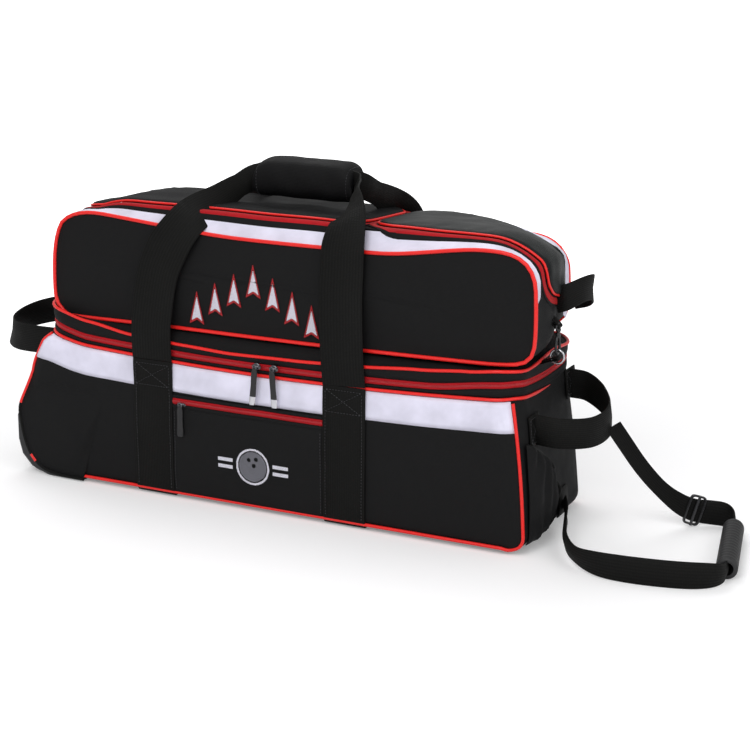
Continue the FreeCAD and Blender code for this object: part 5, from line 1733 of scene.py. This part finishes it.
def clothPad(centre, across, upward, thick, corner, seed):
    # padded board standing across the bag: a rounded outline drawn in from its edge on both sides
    outline = []
    for cornerY, cornerZ, first in ((1, -1, -90), (1, 1, 0), (-1, 1, 90), (-1, -1, 180)):
        for k in range(7):
            angle = math.radians(first + 15 * k)
            radius = corner if cornerZ > 0 else 4.0
            outline.append((cornerY * (across - radius) + radius * math.cos(angle),
                            cornerZ * (upward - radius) + radius * math.sin(angle)))
    ring = evenly([Vector((0, y, z)) for y, z in outline], 8, closed=True)
    rows = []
    for face in (-1, 1):
        shares = ((0.02, 1.0), (0.3, 1.0), (0.62, 0.98), (0.84, 0.9), (0.94, 0.7), (0.985, 0.42), (1.0, 0.2))
        for share, full in (shares if face < 0 else shares[::-1]):
            rows.append([centre
                         + Vector((face * (thick * full + ripple(p.y * share, p.z * share, seed, 60, 0.8)
                                                  * (1 - share)), p.y * share, p.z * share)) for p in ring])
    return gridFaces(rows, ringed=True, capped=True)


def dividers():
    low, high = spanOf("ball_dividers")
    middleZ, halfZ = (low.z + high.z) / 2, (high.z - low.z) / 2
    for number, x in enumerate((low.x + 4, high.x - 4), 1):
        net = clothPad(Vector((x, 0, middleZ)), high.y, halfZ, 3.6, 30, number)
        pad = joinNets(f"ball_divider_{number}", [net], "lining", "ball_bag", ["ball_dividers"]
                       if number == 1 else [])
    low, high = spanOf("shoe_bag_divider")
    centre = (low + high) / 2
    net = clothPad(centre, high.y - 1, (high.z - low.z) / 2 - 1, 1.8, 12, 5)
    pad = joinNets("shoe_divider_cloth", [net], "lining", "lid_and_shoe_bag", ["shoe_bag_divider"])
    top = [Vector((centre.x, mix(low.y + 8, high.y - 8, k / 30), high.z - 1.0)) for k in range(31)]
    sweepPiece("shoe_divider_binding", top, circleSection(2.6, 8), "webbing", "lid_and_shoe_bag")


dividers()

# webbing where the tow strap is sewn on, and the upright strip on the shoe bag's right end
anchorLow, anchorHigh = spanOf("tow_strap_anchor")
anchorPath = curveThrough([(anchorLow.x + 1, 12, anchorHigh.z), (anchorHigh.x - 2, 12, anchorHigh.z - 6),
                           (anchorHigh.x - 1, 12, 34), (anchorHigh.x - 2, 12, anchorLow.z + 5),
                           (anchorLow.x + 1, 12, anchorLow.z)], 5)
ribbonPiece("tow_anchor_webbing", anchorPath, [(0, 1, 0)] * len(anchorPath), 32, 2.0, "webbing", "ball_bag",
            ["tow_strap_anchor"])


def shoeEndStrip():
    ring = shoeRing(-2.0)
    column = sorted((p for p in ring if p.x > 250 and 276 < p.z < 352), key=lambda p: p.z)
    line = evenly([Vector((p.x + 1.6, -2.0, p.z)) for p in column], 4)
    ribbonPiece("shoe_end_strip", line, [(0, 1, 0)] * len(line), 38, 1.6, "webbing", "lid_and_shoe_bag")


shoeEndStrip()


# Embroidery: satin stitches laid side by side inside a shape.
def satinStitch(inside, low, high, place, pitch=1.0, width=0.95, lean=(1.0, 0.0)):
    # inside(u, v) says what is stitched; every stitch is a flat thread a little proud of the cloth
    nets = []
    across = Vector((-lean[1], lean[0]))
    along = Vector(lean)
    centre = (Vector(low) + Vector(high)) / 2
    reach = (Vector(high) - Vector(low)).length / 2
    for row in range(int(-reach / pitch), int(reach / pitch) + 1):
        start = None
        steps = int(2 * reach / 0.6)
        for k in range(steps + 2):
            spot = centre + across * (row * pitch) + along * (-reach + 0.6 * k)
            within = k <= steps and inside(spot.x, spot.y)
            if within and start is None:
                start = spot
            if not within and start is not None:
                length = (spot - start).length
                parts = max(1, int(length / 9))
                for part in range(parts):
                    a = start.lerp(spot, part / parts)
                    b = start.lerp(spot, (part + 1) / parts) - along * 0.2
                    ends = []
                    for t, crest in ((0.0, 0.25), (0.5, 0.95), (1.0, 0.25)):
                        middle = a.lerp(b, t)
                        left, right = middle - across * (width / 2), middle + across * (width / 2)
                        ends.append([place(left.x, left.y, 0.0), place(middle.x, middle.y, crest),
                                     place(right.x, right.y, 0.0), place(middle.x, middle.y, -0.3)])
                    nets.append(gridFaces(ends, ringed=True, capped=True))
                start = None
    return nets


def ballMotif():
    # a plain ball with its three finger holes between two plain bars, on the front pocket
    centre = Vector((2.0, 66.0))
    holes = [centre + Vector(spot) for spot in ((-6, 9), (5, 11), (1.5, 1.5))]

    def onPocket(x, z, proud):
        return pocketFace(x, z, 1.2 + proud)

    def ball(x, z):
        spot = Vector((x, z))
        return (spot - centre).length < 21 and all((spot - hole).length > 3.0 for hole in holes)

    def rim(x, z):
        return 22.5 < (Vector((x, z)) - centre).length < 25.5

    def bars(x, z):
        return 31 < abs(x - centre.x) < 54 and (abs(z - centre.y - 5) < 2.6 or abs(z - centre.y + 5) < 2.6)

    joinNets("motif_ball", satinStitch(ball, (-20, 44), (24, 88), onPocket, lean=(0.8, 0.6)), "greyThread",
             "ball_bag")
    nets = satinStitch(rim, (-25, 39), (29, 93), onPocket) + satinStitch(bars, (-54, 58), (58, 74), onPocket)
    joinNets("motif_rim", nets, "whiteThread", "ball_bag")


ballMotif()


def panelFront(x, z, proud):
    cloth = ripple(x, -200, z, 60, 1.4) + creased(x, z, frontFolds)
    return Vector((x, -(shoeHalf + 3.4 + cloth + 0.9 + proud), z))


def dartMotif():
    # seven plain aiming darts, as on a bowling lane, across the shoe bag's front
    white, red = [], []
    for number in range(-3, 4):
        x = -4 + 29 * number
        base = 334 - 15 * abs(number)

        def dart(u, v, grow=0.0):
            # slim triangle with a notched foot
            across = abs(u - x)
            upward = v - (base - 34)
            return across < (34 + grow - upward) * 0.24 + grow * 0.4 and upward > -grow + 5 - across * 0.6

        def edge(u, v):
            return dart(u, v, 3.0) and not dart(u, v, 0.4)

        box = (x - 13, base - 38), (x + 13, base + 6)
        white += satinStitch(dart, *box, panelFront)
        red += satinStitch(edge, *box, panelFront)
    joinNets("motif_darts", white, "whiteThread", "lid_and_shoe_bag")
    joinNets("motif_dart_edges", red, "redThread", "lid_and_shoe_bag")


dartMotif()
print("dividers, patches and embroidery made")

# CAD shapes that show as they are, each with its finish
kept = {
    "front_wheel_housing": "plastic", "back_wheel_housing": "plastic", "glide_runners": "plastic",
    "front_wheel_hub": "hub", "back_wheel_hub": "hub", "front_wheel_tyre": "rubber",
    "back_wheel_tyre": "rubber",
    "axle_pins": "axle", "clip_rings": "ring", "foam_ball_tray": "foam", "base_board": "board",
}
for node, finish in kept.items():
    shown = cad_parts[node]
    shown.data.materials.clear()
    shown.data.materials.append(finishes[finish][0])
print("CAD pieces finished")
